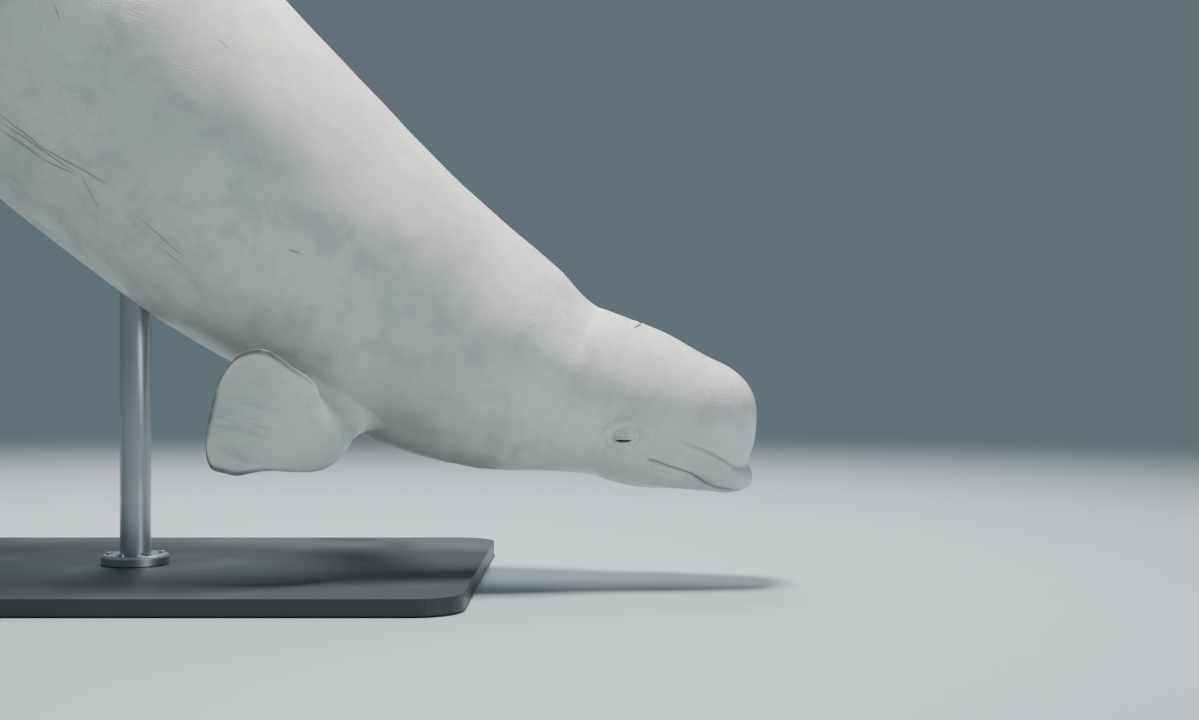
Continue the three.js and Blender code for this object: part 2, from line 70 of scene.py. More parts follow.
# Trunk sections: station, top, bottom, half width
TRUNK = [
    (150, 120, -96, 96),
    (300, 188, -150, 152),
    (449, 190, -196, 180),
    (578, 238, -245, 216),
    (780, 273, -298, 247),
    (908, 291, -309, 268),
    (1418, 358, -369, 338),
    (1850, 384, -386, 372),
    (2200, 366, -366, 354),
    (2500, 322, -328, 308),
    (2800, 262, -274, 244),
    (3100, 200, -212, 172),
    (3400, 148, -154, 110),
    (3650, 110, -110, 70),
    (3850, 80, -78, 46),
    (4000, 52, -50, 32),
    (4120, 24, -22, 18),
    (4160, 8, -8, 8),
]
NOSE_STATION = 330.0
NOSE_LENGTH = 250.0

# Ovals of the head: centre, radii (front, back, wide, up, down), roundness, tilt
MELON = ((172, 50), (133, 190, 122, 116, 112), 2.25, 0)
SNOUT = ((152, 6), (124, 150, 104, 90, 74), 2.4, 0)
CHEEK = ((300, -58), (190, 190, 142, 110, 95), 2.0, 0)
BEAK = ((134, -54), (131, 170, 82, 42, 26), 2.5, 0)
JAW = ((152, -101), (150, 150, 76, 34, 20), 2.4, -13)
HEAD_BLEND = 10.0
LIP_BLEND = 7.0

# Mouth, and the crease between melon and beak: station, height
MOUTH = [
    (-60, -60), (0, -70), (30, -79), (71, -82), (97, -79), (119, -75),
    (140, -70), (161, -67), (192, -64), (214, -62), (233, -63), (252, -68),
]
MOUTH_CORNER = 233.0
MELON_BASE = [
    (-60, -26), (10, -27), (36, -28), (53, -27), (66, -24), (81, -18),
    (101, -12), (126, -8), (159, -5), (190, 0), (226, 18),
]

# Lines beside the mouth: height over it, width, depth. Folds behind its corner: height,
# rise, start
LIPS = ((8, 6.0, -1.6), (-8, 5.5, -1.5), (0, 3.0, 5.0))
CHIN_FOLD = (-19, 5.0, 1.5)
CORNER_PIT = (4.0, 8.0, 2.6)
CORNER_FOLDS = ((-20, -0.22, 262), (-7, 0.0, 267), (9, 0.22, 272))
CORNER_FOLD_DEEP = 1.3
HEAD_FADE = (470.0, 40.0)

# Folds round the neck: station, depth, lean, lowest and highest angle
NECK_FOLDS = (
    (486, 1.6, 0.10, -70, 30), (540, 2.3, 0.16, -80, 15),
    (602, 2.2, 0.2, -88, -5), (668, 1.6, 0.22, -90, -15),
)
NECK_FADE = 22.0
NAPE = (452.0, 13.0, 1.6)

# Rolls of blubber: angle, depth, how fast it wanders, phase, first and last station
ROLLS = (
    (-14, 2.2, 0.0043, 0.3, 1500, 2900), (-37, 4.6, 0.0050, 1.4, 1120, 3000),
    (-47, 2.4, 0.0061, 0.2, 1350, 2300), (-60, 4.4, 0.0046, 2.2, 1250, 3050),
    (-74, 2.6, 0.0057, 4.0, 1500, 2600),
)
ROLL_FADE = 420.0
ROLL_WANDER = (3.6, 1.4)

# Navel, slit and vent under the belly: station, half length, depth
OPENINGS = ((1960, 26, 3.0), (2640, 95, 5.0), (2890, 30, 3.5))
OPENING_HALF = 10.0
OPENING_LIP = 24.0

# Shoulder over the flipper: station, angle and how far it reaches, height
SHOULDER = ((800.0, 150.0), (-42.0, 22.0), 9.0)

# Ridge along the back
RIDGE_FROM = 2170.0
RIDGE_TO = 2960.0
RIDGE_HIGH = 27.0
RIDGE_HALF = 30.0
RIDGE_BUMPS = 11
RIDGE_BUMP = 0.16

# Eyes: the window is half length and half width in degrees, the opening is half length,
# height above, height below, and its shift back and up
EYE_STATION = 296.0
EYE_HEIGHT = -32.0
EYE_OUT = 154.0
EYE_RADIUS = 19.0
EYE_SUNK = 12.5
EYE_GIRTH = 162.0
EYE_WINDOW = (56, 20)
EYE_RINGS = 38
EYE_OPENING = (16.5, 4.3, 3.3)
EYE_SHIFT = (-1.0, -5.5)
EYE_SLANT = -8.0
CORNEA = 0.7

# Folds of the lids: depth, distance from the opening, width, share below, share above
LID_FOLDS = (
    (1.3, 5.8, 1.5, 0.25, 1.0), (-0.9, 2.6, 2.2, 1.0, 1.0), (0.8, 11, 1.6, 1.0, 0.0),
    (-1.3, 16, 5.0, 1.0, 0.0), (0.7, 23, 1.8, 1.0, 0.3),
)
# Brow over the eye: depth, distance from its middle, width
BROW = ((-2.4, 38, 9.0), (1.3, 24, 3.6))
EAR = (47.0, 13.0, 1.8)

# Blowhole, in millimetres
BLOW_STATION = 350.0
BLOW_HALF = 46.0
BLOW_SWEEP = 10.0
BLOW_GIRTH = 186.0
BLOW_WINDOW = (38, 24)
BLOW_RINGS = 26
BLOW_DEEP = (2.0, 5.0, 9.0)
BLOW_NARROW = (0.995, 0.97, 0.93)

# Flippers: ahead, out, above, chord behind, chord ahead, thickness, turn
FLIPPER_STATION = 872.0
FLIPPER = [
    (0, 127, -199, 90, 84, 54, 0),
    (22, 192, -225, 84, 78, 52, 6),
    (52, 275, -242, 66, 58, 46, 30),
    (46, 340, -252, 76, 78, 42, 54),
    (18, 376, -260, 100, 86, 36, 68),
    (-28, 394, -270, 118, 100, 30, 73),
    (-82, 401, -286, 138, 124, 25, 74),
    (-122, 402, -301, 118, 124, 20, 74),
    (-158, 399, -316, 66, 116, 15, 74),
]
FLIPPER_TIP = 44.0
FLIPPER_CURL = 16.0
FLIPPER_FREE = 150.0
FLIPPER_RINGS = 46
FLIPPER_LEAN = 0.16
FLIPPER_CREST = 7.0
FOOT_STATION = 864.0
FOOT_AT = (160.0, -214.0)
FOOT_GIRTH = 268.0
FOOT_WINDOW = (176, 21)
FOOT_HALF = (124.0, 58.0)
FOOT_RINGS = 8
RISE_RINGS = 14

# Flukes: distance out, leading edge, trailing edge
FLUKE = [
    (0, 3850, 4200), (45, 3890, 4262), (100, 3945, 4305), (200, 4015, 4342),
    (300, 4070, 4342), (400, 4130, 4308), (470, 4190, 4262), (490, 4232, 4240),
]
FLUKE_ROOT = [(3848, 47), (3886, 58)]
FLUKE_START = 3750.0
FLUKE_FROM = 3800.0
FLUKE_THICK = (60.0, 9.0)
FLUKE_DROOP = 26.0
FLUKE_RINGS = 40
FLUKE_RIM = 0.13

# Stand: rods and collars in millimetres, ahead of the middle and the rod's top
RODS = (("front", 130.0, 665.0), ("rear", -470.0, 1200.0))
ROD_RADIUS = 34.0
ROD_FOOT = 36.3
COLLAR = (34.4, 74.0, 22.0)
COLLAR_SLOPE = 5.0
STAND_TURNS = 96
BOLT_TURNS = 20
BOLTS = 6
BOLT_CIRCLE = 56.0
BOLT_START = 0.26
BOLT_HEAD = ((0, -1), (6.5, -1), (6.5, 5), (3.6, 5), (3.2, 2), (0, 2))

# Grid of the skin: fan rings by start, end and step in degrees from the front, then
# stations by start, end and count in millimetres behind the head's heart. Points within
# the pull's reach of the mouth, in a box by last station and height, are drawn to it
HEART = (210.0, 30.0)
HEART_EASE = 200.0
COLUMNS = 216
COLUMN_TURN = 2 * np.pi / COLUMNS
FAN = ((1.2, 9, 1.3), (10, 46, 0.95), (46, 90, 1.75))
ROWS = ((0, 245, 56), (245, 1090, 71), (1090, FLUKE_START - HEART[0], 112))
MOUTH_PULL = (14.0, 0.92, 4.6)
MOUTH_BOX = (300.0, -70.0, 60.0)
RAY = 700.0
HALVINGS = 34

# Scars: station and angle of both ends, side, width in millimetres, and 1 if pale
CHART_FROM = 300.0
SCAR_LAYERS = 6
SCAR_REACH = 0.034
SCARS = [
    (1713, -24, 1600, -23.6, -1, 4.5, 0), (1610, -23.8, 1455, -19.5, -1, 4.0, 0),
    (1706, -26, 1520, -23.4, -1, 4.0, 0), (1698, -28.6, 1590, -27.0, -1, 4.5, 0),
    (1600, -27.3, 1520, -24.2, -1, 3.5, 0), (1512, -23, 1436, -31, -1, 3.0, 0),
    (1380, -22.6, 1249, -24.4, -1, 2.6, 0), (1293, -27, 1250, -28, -1, 2.6, 0),
    (1342, -38, 1276, -38.4, -1, 4.0, 1), (1330, -36.2, 1290, -36.8, -1, 3.0, 1),
    (1796, 12, 1672, 1, -1, 4.5, 1), (1680, 1.6, 1611, -6, -1, 4.5, 1),
    (1618, -5.2, 1554, -14, -1, 3.5, 1), (1763, 16, 1726, 13, -1, 3.0, 0),
    (1498, 45, 1449, 45, -1, 3.0, 0), (1298, 30, 1174, 14, -1, 3.0, 1),
    (1180, 14.8, 1121, 8, -1, 3.0, 1), (1088, 2.2, 1064, 4, -1, 3.5, 0),
    (2100, 5, 1980, -6, -1, 4.0, 0), (2096, 8, 1975, -3, -1, 3.5, 0),
    (2420, 20, 2330, 33, -1, 4.0, 1), (1240, 10, 1130, -8, 1, 4.0, 0),
    (1236, 13, 1126, -5, 1, 3.5, 0), (1250, 16, 1150, 0, 1, 3.5, 0),
    (1700, -30, 1560, -22, 1, 4.0, 0), (1880, 22, 1790, 6, 1, 4.0, 1),
    (2300, -12, 2190, -4, 1, 4.5, 0), (920, 30, 860, 18, 1, 3.5, 1),
]

# Patches of rough, pale skin: station, angle, side, size
ROUGH = [
    (1766, 7, -1, 70), (1688, 18, -1, 80), (1634, -17, -1, 60), (1575, -7, -1, 60),
    (1400, -34, -1, 60), (1310, -37, -1, 55), (1225, -39, -1, 50), (535, 37, -1, 50),
    (468, 34, -1, 45), (544, 58, -1, 45), (1640, 5, 1, 80), (1480, 20, 1, 70),
    (1250, -25, 1, 60), (600, 40, 1, 50), (2350, 10, 1, 90),
]

FLESH = (
    "head", "melon", "lower_jaw", "neck", "chest", "belly", "loin", "tail_stock",
    "dorsal_ridge", "flipper_left", "flipper_right", "fluke_left", "fluke_right",
)

# Patterns of the finishes: noise scale, detail, roughness, distortion, and the values
# where the pattern begins and is full
CLOUDS = (2.3, 4, 0.55, 0.5, 0.40, 0.70)
MOTTLING = (13, 5, 0.62, 0.4, 0.42, 0.70)
SPECKS = (80, 3, 0.6, 0.0, 0.58, 0.75)
STREAK_PATCHES = (8, 3, 0.6, 0.0, 0.40, 0.62)
BROKEN_RIM = (24, 4, 0.6, 0.0, 0.12, 0.50)
LEATHER = (3.4, 1, 0.55, 0.3, 0.44, 0.64)
SMEARS = (9, 4, 0.6, 0.0, 0.4, 0.75)
DUST = (5, 6, 0.65, 0.0, 0.45, 0.8)

# Colours that are not settings
WORN_SKIN = (0.86, 0.85, 0.79)
PALE_SCAR = (0.86, 0.85, 0.80)
# Painted light: the paler tone of flippers and flukes, as if lit from above.
FIN_PAINTED_LIGHT = (0.84, 0.83, 0.79)
PUPIL = (0.003, 0.003, 0.003)
IRIS = ((0.030, 0.016, 0.009), (0.075, 0.042, 0.022))
EYE_EDGE = (0.02, 0.014, 0.012)
STEEL = ((0.42, 0.43, 0.44), (0.60, 0.61, 0.62))
PAINT = ((0.035, 0.038, 0.042), (0.10, 0.10, 0.10))

# Studio, in metres: rings of the floor, the camera's aim behind and above the snout, and
# the lights: place, target, size, share of the key light's power, colour
FLOOR_RINGS = (0.5, 2, 5, 10, 20, 60.0)
FLOOR_TURNS = 96
FLOOR_FADE = (3.2, 8.5)
AIM = (0.3564, 0.004, 0.2168)
LIGHTS = (
    ("key_light", (0.6, 0.1, 5.3), (0.45, 0.0, 0.9), 1.2, 1.15, (1.0, 0.975, 0.93)),
    ("rim_light", (0.4, 3.0, 4.6), (0.0, 0.0, 1.1), 2.6, 0.5, (0.92, 0.97, 1.0)),
    ("front_light", (4.6, -3.4, 1.6), (1.0, 0.0, 0.6), 2.4, 0.12, (0.80, 0.92, 1.0)),
)


def curve(points):
    """Cubic through named points: each slope is the weighted harmonic mean of the slopes
    of the two spans beside it, so the curve never overshoots its points."""
    p = np.array(points, float)
    x, y = p[:, 0], p[:, 1]
    step = np.diff(x)
    rise = np.diff(y) / step
    before, after = 2 * step[1:] + step[:-1], step[1:] + 2 * step[:-1]
    same = rise[:-1] * rise[1:] > 0
    safe = np.where(same, rise[:-1] * rise[1:], 1)
    mean = (before + after) * safe / (before * rise[1:] + after * rise[:-1] + (~same))
    slopes = np.concatenate([[rise[0]], np.where(same, mean, 0), [rise[-1]]])

    def at(value):
        v = np.clip(np.asarray(value, float), x[0], x[-1])
        i = np.clip(np.searchsorted(x, v) - 1, 0, len(x) - 2)
        return cubic((v - x[i]) / step[i], y[i], y[i + 1], slopes[i] * step[i], slopes[i + 1] * step[i])

    return at


def cubic(t, start, end, leave, arrive):
    """The cubic from start to end over t from 0 to 1 with given slopes at both ends:
    start (1 + 2t) u^2 + leave t u^2 + end t^2 (3 - 2t) - arrive t^2 u, where u = 1 - t."""
    u = 1 - t
    return start * (1 + 2 * t) * u * u + leave * t * u * u + end * t * t * (3 - 2 * t) - arrive * t * t * u


def column(rows, k):
    """The curve of one column of a table over the table's first column."""
    return curve([(row[0], row[k]) for row in rows])


def smooth(t):
    """0 below 0 and 1 above 1, with the S curve 3t^2 - 2t^3 between."""
    t = np.clip(t, 0, 1)
    return t * t * (3 - 2 * t)


def bell(x, width):
    """exp(-(x / width)^2): a soft bump that is 1 in the middle."""
    return np.exp(-(x / width) ** 2)


def unit(v):
    """Vectors over their lengths."""
    return v / np.linalg.norm(v, axis=-1, keepdims=True)


def split(p):
    """The three coordinates of an array of points."""
    return np.moveaxis(p, -1, 0)


pitch = curve(PITCH)
mouth_height = curve(MOUTH)
melon_base = curve(MELON_BASE)
top, bottom, half_width = (column(TRUNK, k) for k in (1, 2, 3))
leading, trailing = (column(FLUKE, k) for k in (1, 2))


def spine_table():
    """Stations, and the running sums of cos(pitch) and sin(pitch) up to each."""
    s = np.arange(0, SPINE_END, SPINE_STEP)
    a = np.radians(pitch(s))
    x = -np.concatenate([[0], np.cumsum((np.cos(a[1:]) + np.cos(a[:-1])) * SPINE_STEP / 2)])
    z = np.concatenate([[0], np.cumsum((np.sin(a[1:]) + np.sin(a[:-1])) * SPINE_STEP / 2)])
    return s, x, z


SPINE = spine_table()


def spine(s):
    """The spine's x and z at a station, read from its table."""
    return np.interp(s, SPINE[0], SPINE[1]), np.interp(s, SPINE[0], SPINE[2])


def bend(p):
    """Body coordinates to the whale's own frame: the height stands square to the spine,
    and ahead of the snout the spine runs on straight."""
    s, y, h = split(p)
    x, z = spine(s)
    pivot_x, pivot_z = spine(PIVOT_STATION)
    a = np.radians(pitch(s))
    ahead = np.minimum(s, 0)
    return np.stack([x - pivot_x + h * np.sin(a) - ahead * np.cos(a), y,
                     z - pivot_z + h * np.cos(a) + ahead * np.sin(a)], -1)


def settle(p):
    """Whale's own frame to the part's frame: a turn by BANK about the forward axis
    (Rodrigues' formula), then the move to WHALE_AT."""
    a, t = math.radians(BANK), math.radians(BANK_PITCH)
    f = np.array([math.cos(t), 0, -math.sin(t)])
    along = (p @ f)[..., None] * f
    return p * math.cos(a) + np.cross(f, p) * math.sin(a) + along * (1 - math.cos(a)) + WHALE_AT


def oval(s, y, h, at, size, power, tilt):
    """How far a point lies outside a rounded oval, measured towards its centre:
    distance x (1 - 1 / reach), with reach the power sum of the scaled coordinates."""
    t = math.radians(tilt)
    along = (s - at[0]) * math.cos(t) + (h - at[1]) * math.sin(t)
    above = (h - at[1]) * math.cos(t) - (s - at[0]) * math.sin(t)
    front, back, wide, up, down = size
    reach = (np.abs(along / np.where(along < 0, front, back)) ** power + np.abs(y / wide) ** power
             + np.abs(above / np.where(above > 0, up, down)) ** power) ** (1 / power)
    return np.sqrt(along ** 2 + above ** 2 + y ** 2) * (1 - 1 / np.maximum(reach, 1e-6))


def trunk(s, y, h):
    """An oval section at every station, closed in front by an oval nose."""
    at = np.maximum(s, NOSE_STATION)
    middle, tall = (top(at) + bottom(at)) / 2, (top(at) - bottom(at)) / 2
    ahead = np.maximum((NOSE_STATION - s) / NOSE_LENGTH, 0)
    reach = np.sqrt((y / half_width(at)) ** 2 + ((h - middle) / tall) ** 2 + ahead ** 2)
    away = np.sqrt(y ** 2 + (h - middle) ** 2 + (ahead * NOSE_LENGTH) ** 2)
    return away * (1 - 1 / np.maximum(reach, 1e-6))


def blend(width, *values):
    """Soft minimum: least - width x log of the sum of exp((least - value) / width)."""
    least = np.minimum.reduce(values)
    return least - width * np.log(sum(np.exp((least - v) / width) for v in values))


def body(s, y, h):
    """The smooth body as one field, below zero inside: trunk, melon, snout and cheek in
    one soft union, beak and jaw in another, and the two joined."""
    skull = blend(HEAD_BLEND, trunk(s, y, h), oval(s, y, h, *MELON),
                  oval(s, y, h, *SNOUT), oval(s, y, h, *CHEEK))
    mouth = blend(LIP_BLEND, oval(s, y, h, *BEAK), oval(s, y, h, *JAW))
    return blend(LIP_BLEND, skull, mouth)


def heart_height(behind):
    """Height of the ray's start over the spine, easing to 0 behind the head's heart."""
    return HEART[1] * (1 - smooth(behind / HEART_EASE))


def ring(q, theta):
    """Surface points by ring and angle. A ring below 0 is a fan ring, its angle in degrees
    short of the plane of the head's heart, and from 0 on it is the distance behind that
    plane. The ray from the middle is halved again and again until it meets the skin."""
    q, theta = np.broadcast_arrays(np.asarray(q, float), np.asarray(theta, float))
    a = np.radians(np.clip(q, -90, 0))
    behind = np.maximum(q, 0)
    start = np.stack([HEART[0] + behind, 0 * q, heart_height(behind)])
    way = np.stack([np.sin(a), np.cos(a) * np.cos(theta), np.cos(a) * np.sin(theta)])
    near, far = np.zeros(q.shape), np.full(q.shape, RAY)
    for _ in range(HALVINGS):
        r = (near + far) / 2
        inside = body(*(start + way * r)) < 0
        near, far = np.where(inside, r, near), np.where(inside, far, r)
    return np.moveaxis(start + way * near, 0, -1)


def slope(p):
    """Slope of the body field at points, from its differences over 1 mm each way."""
    s, y, h = split(p)
    return np.stack([body(s + 1, y, h) - body(s - 1, y, h),
                     body(s, y + 1, h) - body(s, y - 1, h),
                     body(s, y, h + 1) - body(s, y, h - 1)], -1) / 2


def outward(p):
    """Unit normals of the body field: its slope over the slope's length."""
    return unit(slope(p))


def onto_skin(p):
    """Moves points along the field's slope until the field is zero: four Newton steps of
    field / slope, none longer than 5 mm."""
    for _ in range(4):
        g = slope(p)
        size = np.linalg.norm(g, axis=-1, keepdims=True)
        p = p - g / size * np.clip(body(*split(p))[..., None] / size, -5, 5)
    return p


def mouth_line(p):
    """Distance above the line of the mouth, and 1 on the line's length, fading behind its
    corner."""
    s, _, h = split(p)
    return h - mouth_height(s), smooth((MOUTH_CORNER + 6 - s) / 14)


def lips(p):
    """The groove of the mouth between two rolled lips, the fold under the lower lip, and
    the pit and small folds at its corner. Each is a bell across a line."""
    s, y, h = split(p)
    off, on = mouth_line(p)
    head = smooth((HEAD_FADE[0] - s) / HEAD_FADE[1])
    deep = on * head * sum(depth * bell(off - at, width) for at, width, depth in LIPS)
    at, width, depth = CHIN_FOLD
    deep += depth * on * head * bell(off - at, width) * smooth((s - 40) / 60)
    at, width, depth = CORNER_PIT
    corner = np.hypot(s - MOUTH_CORNER - at, h - mouth_height(MOUTH_CORNER + at))
    deep += depth * bell(corner, width) * head
    for lift, rise, start in CORNER_FOLDS:
        line = h - mouth_height(MOUTH_CORNER) - lift - rise * (s - CORNER_FOLDS[0][2])
        deep += CORNER_FOLD_DEEP * bell(line, 3.2) * bell(s - start, 17) * head * (np.abs(y) > 60)
    # Painted shade along the groove of the mouth.
    return -deep, 0.85 * on * head * bell(off, 2.9)


def beak_crease(p):
    """The groove between melon and beak, filled at the very front and fading towards the
    eye, with a soft fold over it, and painted shade along the groove."""
    s, y, h = split(p)
    line = (h - melon_base(s)) * 0.95
    fade = smooth((214 - s) / 90) * smooth((s - 18) / 30)
    filled = bell(h + 13, 12) * smooth((46 - s) / 24) * smooth((60 - np.abs(y)) / 40)
    height = (1.1 * bell(line - 9, 6) - 3.0 * bell(line, 4.6)) * fade + 5.0 * filled
    return height, 0.5 * bell(line, 4.0) * fade


def neck_folds(s, side, h, angle):
    """The nape, and the folds round the neck, each a groove with a low roll behind it."""
    at, width, depth = NAPE
    height = -depth * bell(s - at - 0.02 * side, width) * smooth((h - 40) / 120)
    for at, deep, lean, low, high in NECK_FOLDS:
        line = s - at - lean * h - 5 * np.sin(side / 41 + at)
        reach = smooth((angle - low) / NECK_FADE) * smooth((high - angle) / NECK_FADE)
        height += deep * (0.6 * bell(line - 15, 12) - bell(line, 7)) * reach
    return height


def blubber_rolls(s, angle):
    """Rolls of blubber low on the flanks, stronger towards the loin. Each is a groove and
    a swelling above it along a wandering line of constant angle."""
    height, crease = np.zeros(s.shape), np.zeros(s.shape)
    stronger = 0.55 + 0.45 * smooth((s - 1650) / 300)
    slow, quick = ROLL_WANDER
    for level, deep, wave, phase, start, end in ROLLS:
        wander = slow * np.sin(s * wave + phase) + quick * np.sin(s * wave * 2.7 + 2 * phase)
        line = angle - level - wander
        reach = smooth((s - start) / ROLL_FADE) * smooth((end - s) / ROLL_FADE) * stronger
        reach *= 0.75 + 0.25 * np.sin(s * 0.011 + level)
        height += deep * (1.1 * bell(line + 6.5, 5.5) - 1.5 * bell(line, 2.6)) * reach
        # Painted shade in each roll's groove.
        crease += 0.14 * bell(line, 1.6) * reach
    return height, crease


def soft_flesh(s, y, h, angle):
    """Slow unevenness of the flesh, two products of sines, and the shoulder."""
    coarse = np.sin(s / 83 + y / 140) * np.sin(h / 96 + s / 240) * smooth((s - 500) / 500)
    fine = np.sin(s / 37 + h / 60 + 1.3) * np.sin(np.abs(y) / 52 + s / 150) * smooth((s - 420) / 300)
    along, around, high = SHOULDER
    shoulder = bell(s - along[0], along[1]) * bell(angle - around[0], around[1])
    return 1.5 * coarse + 0.8 * fine + high * shoulder


def back_ridge(s, y, h):
    """The low bumpy ridge along the back: a power of a sine along it, times an oval
    section across it."""
    t = np.clip((s - RIDGE_FROM) / (RIDGE_TO - RIDGE_FROM), 0, 1)
    bumps = 1 + RIDGE_BUMP * np.sin(2 * np.pi * RIDGE_BUMPS * t)
    section = np.clip(1 - (y / RIDGE_HALF) ** 2, 0, 1) ** 0.8
    return RIDGE_HIGH * np.sin(np.pi * t) ** 0.7 * bumps * section * (h > 0)


def belly_openings(s, y, h):
    """Navel, slit and vent: a groove along the middle of the belly between two lips."""
    height, crease = np.zeros(s.shape), np.zeros(s.shape)
    for at, long, deep in OPENINGS:
        along = (h < 0) * np.exp(-((s - at) / long) ** 4)
        groove = bell(y, OPENING_HALF) * along
        height += deep * (0.5 * bell(np.abs(y) - OPENING_LIP, 12) * along - groove)
        # Painted shade in the groove of each opening.
        crease += 0.5 * groove
    return height, crease


def relief(p):
    """Height of the modelled detail over the smooth body in millimetres, and how much
    painted shade each point gets in creases, grooves and openings: the sums of the parts above."""
    s, y, h = split(p)
    side = np.abs(y)
    angle = np.degrees(np.arctan2(h, side))
    both = (lips(p), beak_crease(p), blubber_rolls(s, angle), belly_openings(s, y, h))
    height = neck_folds(s, side, h, angle) + soft_flesh(s, y, h, angle) + back_ridge(s, y, h)
    return height + sum(part[0] for part in both), np.clip(sum(part[1] for part in both), 0, 1)


def dress(p):
    """Smooth body points to detailed ones: relief along the normal. Returns the points in
    the whale's own frame and the mask of painted shade in creases."""
    height, crease = relief(p)
    return bend(p + outward(p) * height[..., None]), crease


def stations():
    """The rings of the grid: fan rings, close over the beak, then stations, wider apart
    from the head to the tail."""
    fan = [np.arange(*part) - 90 for part in FAN]
    behind = [np.linspace(*part)[:-1] for part in ROWS]
    return np.concatenate([*fan, *behind, [ROWS[-1][1]]])


def body_grid():
    """The tube of the skin from the first fan ring to the fluke's start. Points near the
    line of the mouth are drawn towards it, so that the groove falls on the grid."""
    q = stations()
    theta = np.arange(COLUMNS) * COLUMN_TURN
    p = ring(q[:, None], theta[None, :])
    off, on = mouth_line(p)
    reach, pull, width = MOUTH_PULL
    near = (np.abs(off) < reach) & (on > 0) & (p[..., 0] < MOUTH_BOX[0])
    near &= np.abs(p[..., 2] - MOUTH_BOX[1]) < MOUTH_BOX[2]
    spot = p[near]
    wish = off[near] * (1 - pull * bell(off[near], width) * on[near])
    for _ in range(5):
        spot[:, 2] = mouth_height(spot[:, 0]) + wish
        spot = onto_skin(spot)
    p[near] = spot
    return q, theta, p


def fluke_edge():
    """The fluke's leading edge from the tail stock to its tip, as curves of station and
    distance out over the share of its length."""
    root = [(s, float(half_width(s))) for s in (FLUKE_START, FLUKE_FROM)]
    edge = np.array(root + FLUKE_ROOT + [(row[1], row[0]) for row in FLUKE[2:]], float)
    gone = np.concatenate([[0], np.cumsum(np.hypot(*np.diff(edge, axis=0).T))])
    gone /= gone[-1]
    return curve(np.stack([gone, edge[:, 0]], 1)), curve(np.stack([gone, edge[:, 1]], 1))


def fluke_grid(theta):
    """The flukes as the last rings of the tube, with the mask of their margins. Each ring
    is a Coons patch between the spine, the leading edge, the tail stock and the trailing
    edge, and its height is the soft maximum of the stock's oval and the fluke's foil."""
    tau = (np.arange(1, FLUKE_RINGS + 1) / FLUKE_RINGS)[:, None] ** 0.93
    a = np.abs(np.cos(theta))[None, :]
    lead_s, lead_y = fluke_edge()
    span, notch = FLUKE[-1][0], FLUKE[0][2]
    middle_s = FLUKE_START + (notch - FLUKE_START) * tau
    corner_s = (1 - a) * notch + a * FLUKE[-1][1]
    s = (1 - a) * middle_s + a * lead_s(tau) + tau * (trailing(span * a) - corner_s)
    y = a * lead_y(tau)

    x = np.clip(2 * (s - leading(y)) / (trailing(y) - leading(y)) - 1, -1, 1)
    thick = FLUKE_THICK[0] + (FLUKE_THICK[1] - FLUKE_THICK[0]) * (y / span) ** 0.75
    foil = thick / 2 * np.sqrt(1 - x * x) * (1 - 0.45 * x)
    foil = np.where(s < FLUKE_FROM, -60, foil)
    share = (y / half_width(s)) ** 2
    stock = np.where(share < 1, np.sqrt(np.clip(1 - share, 0, 1)), -(share - 1) * 0.6)
    stock = np.maximum((top(s) - bottom(s)) / 2 * stock, -60)
    mix = 7 * smooth((tau - 0.02) / 0.2) + 0.01
    soft = mix * np.log1p(np.exp(-np.abs(stock - foil) / mix)) * smooth((tau - 0.1) / 0.2)
    height = (np.maximum(stock, foil) + soft) * np.sqrt(1 - a ** 6)
    height = np.where(a > 0.9999, 0, height)
    end = smooth((1 - tau) / 0.05)
    height = height * end + np.minimum(height, 2.2) * (1 - end)

    outer = smooth((y - 60) / 60)
    rays = 1 + 0.05 * np.sin(y / 17 + s / 90) * outer * smooth((0.97 - tau) / 0.1)
    middle = (top(s) + bottom(s)) / 2 * smooth((3900 - s) / 150)
    up, across = (np.sign(np.round(wave(theta), 9))[None, :] for wave in (np.sin, np.cos))
    h = middle - FLUKE_DROOP * (y / span) ** 2 + up * height * rays
    edge_near = (FLUKE_RIM - (1 - np.abs(x)) / 2) / FLUKE_RIM
    return np.stack([s, y * across, h], -1), smooth((y - 70) / 60) * smooth(edge_near)


def through(number, values, at):
    """Cubic through values at whole numbers, each slope half the step between its
    neighbours."""
    slopes = np.gradient(values, number)
    i = np.clip(np.searchsorted(number, at, side="right") - 1, 0, len(number) - 2)
    return cubic(at - number[i], values[i], values[i + 1], slopes[i], slopes[i + 1])


def flipper_path(keys, ways):
    """Places, ways and shares of the free sections along a flipper, with how far along
    they lie, the path's length and its last point. The sections draw together outwards."""
    number = np.arange(len(keys))
    line = bend(np.array([FLIPPER_STATION, 0.0, 0.0])) + keys[:, :3] @ ways
    fine = np.linspace(0, len(keys) - 1, 400)
    path = np.stack([through(number, values, fine) for values in line.T], -1)
    gone = np.concatenate([[0], np.cumsum(np.linalg.norm(np.diff(path, axis=0), axis=1))])
    end = gone[-1]
    outward_share = 1 - (1 - np.arange(FLIPPER_RINGS) / FLIPPER_RINGS) ** 1.5
    wanted = FLIPPER_FREE + (end - FLIPPER_FREE) * outward_share
    at = np.stack([np.interp(wanted, gone, values) for values in path.T], -1)
    way = np.stack([np.interp(wanted, gone, np.gradient(values, gone)) for values in path.T], -1)
    return at, unit(way), np.interp(wanted, gone, fine), wanted, end, path[-1]


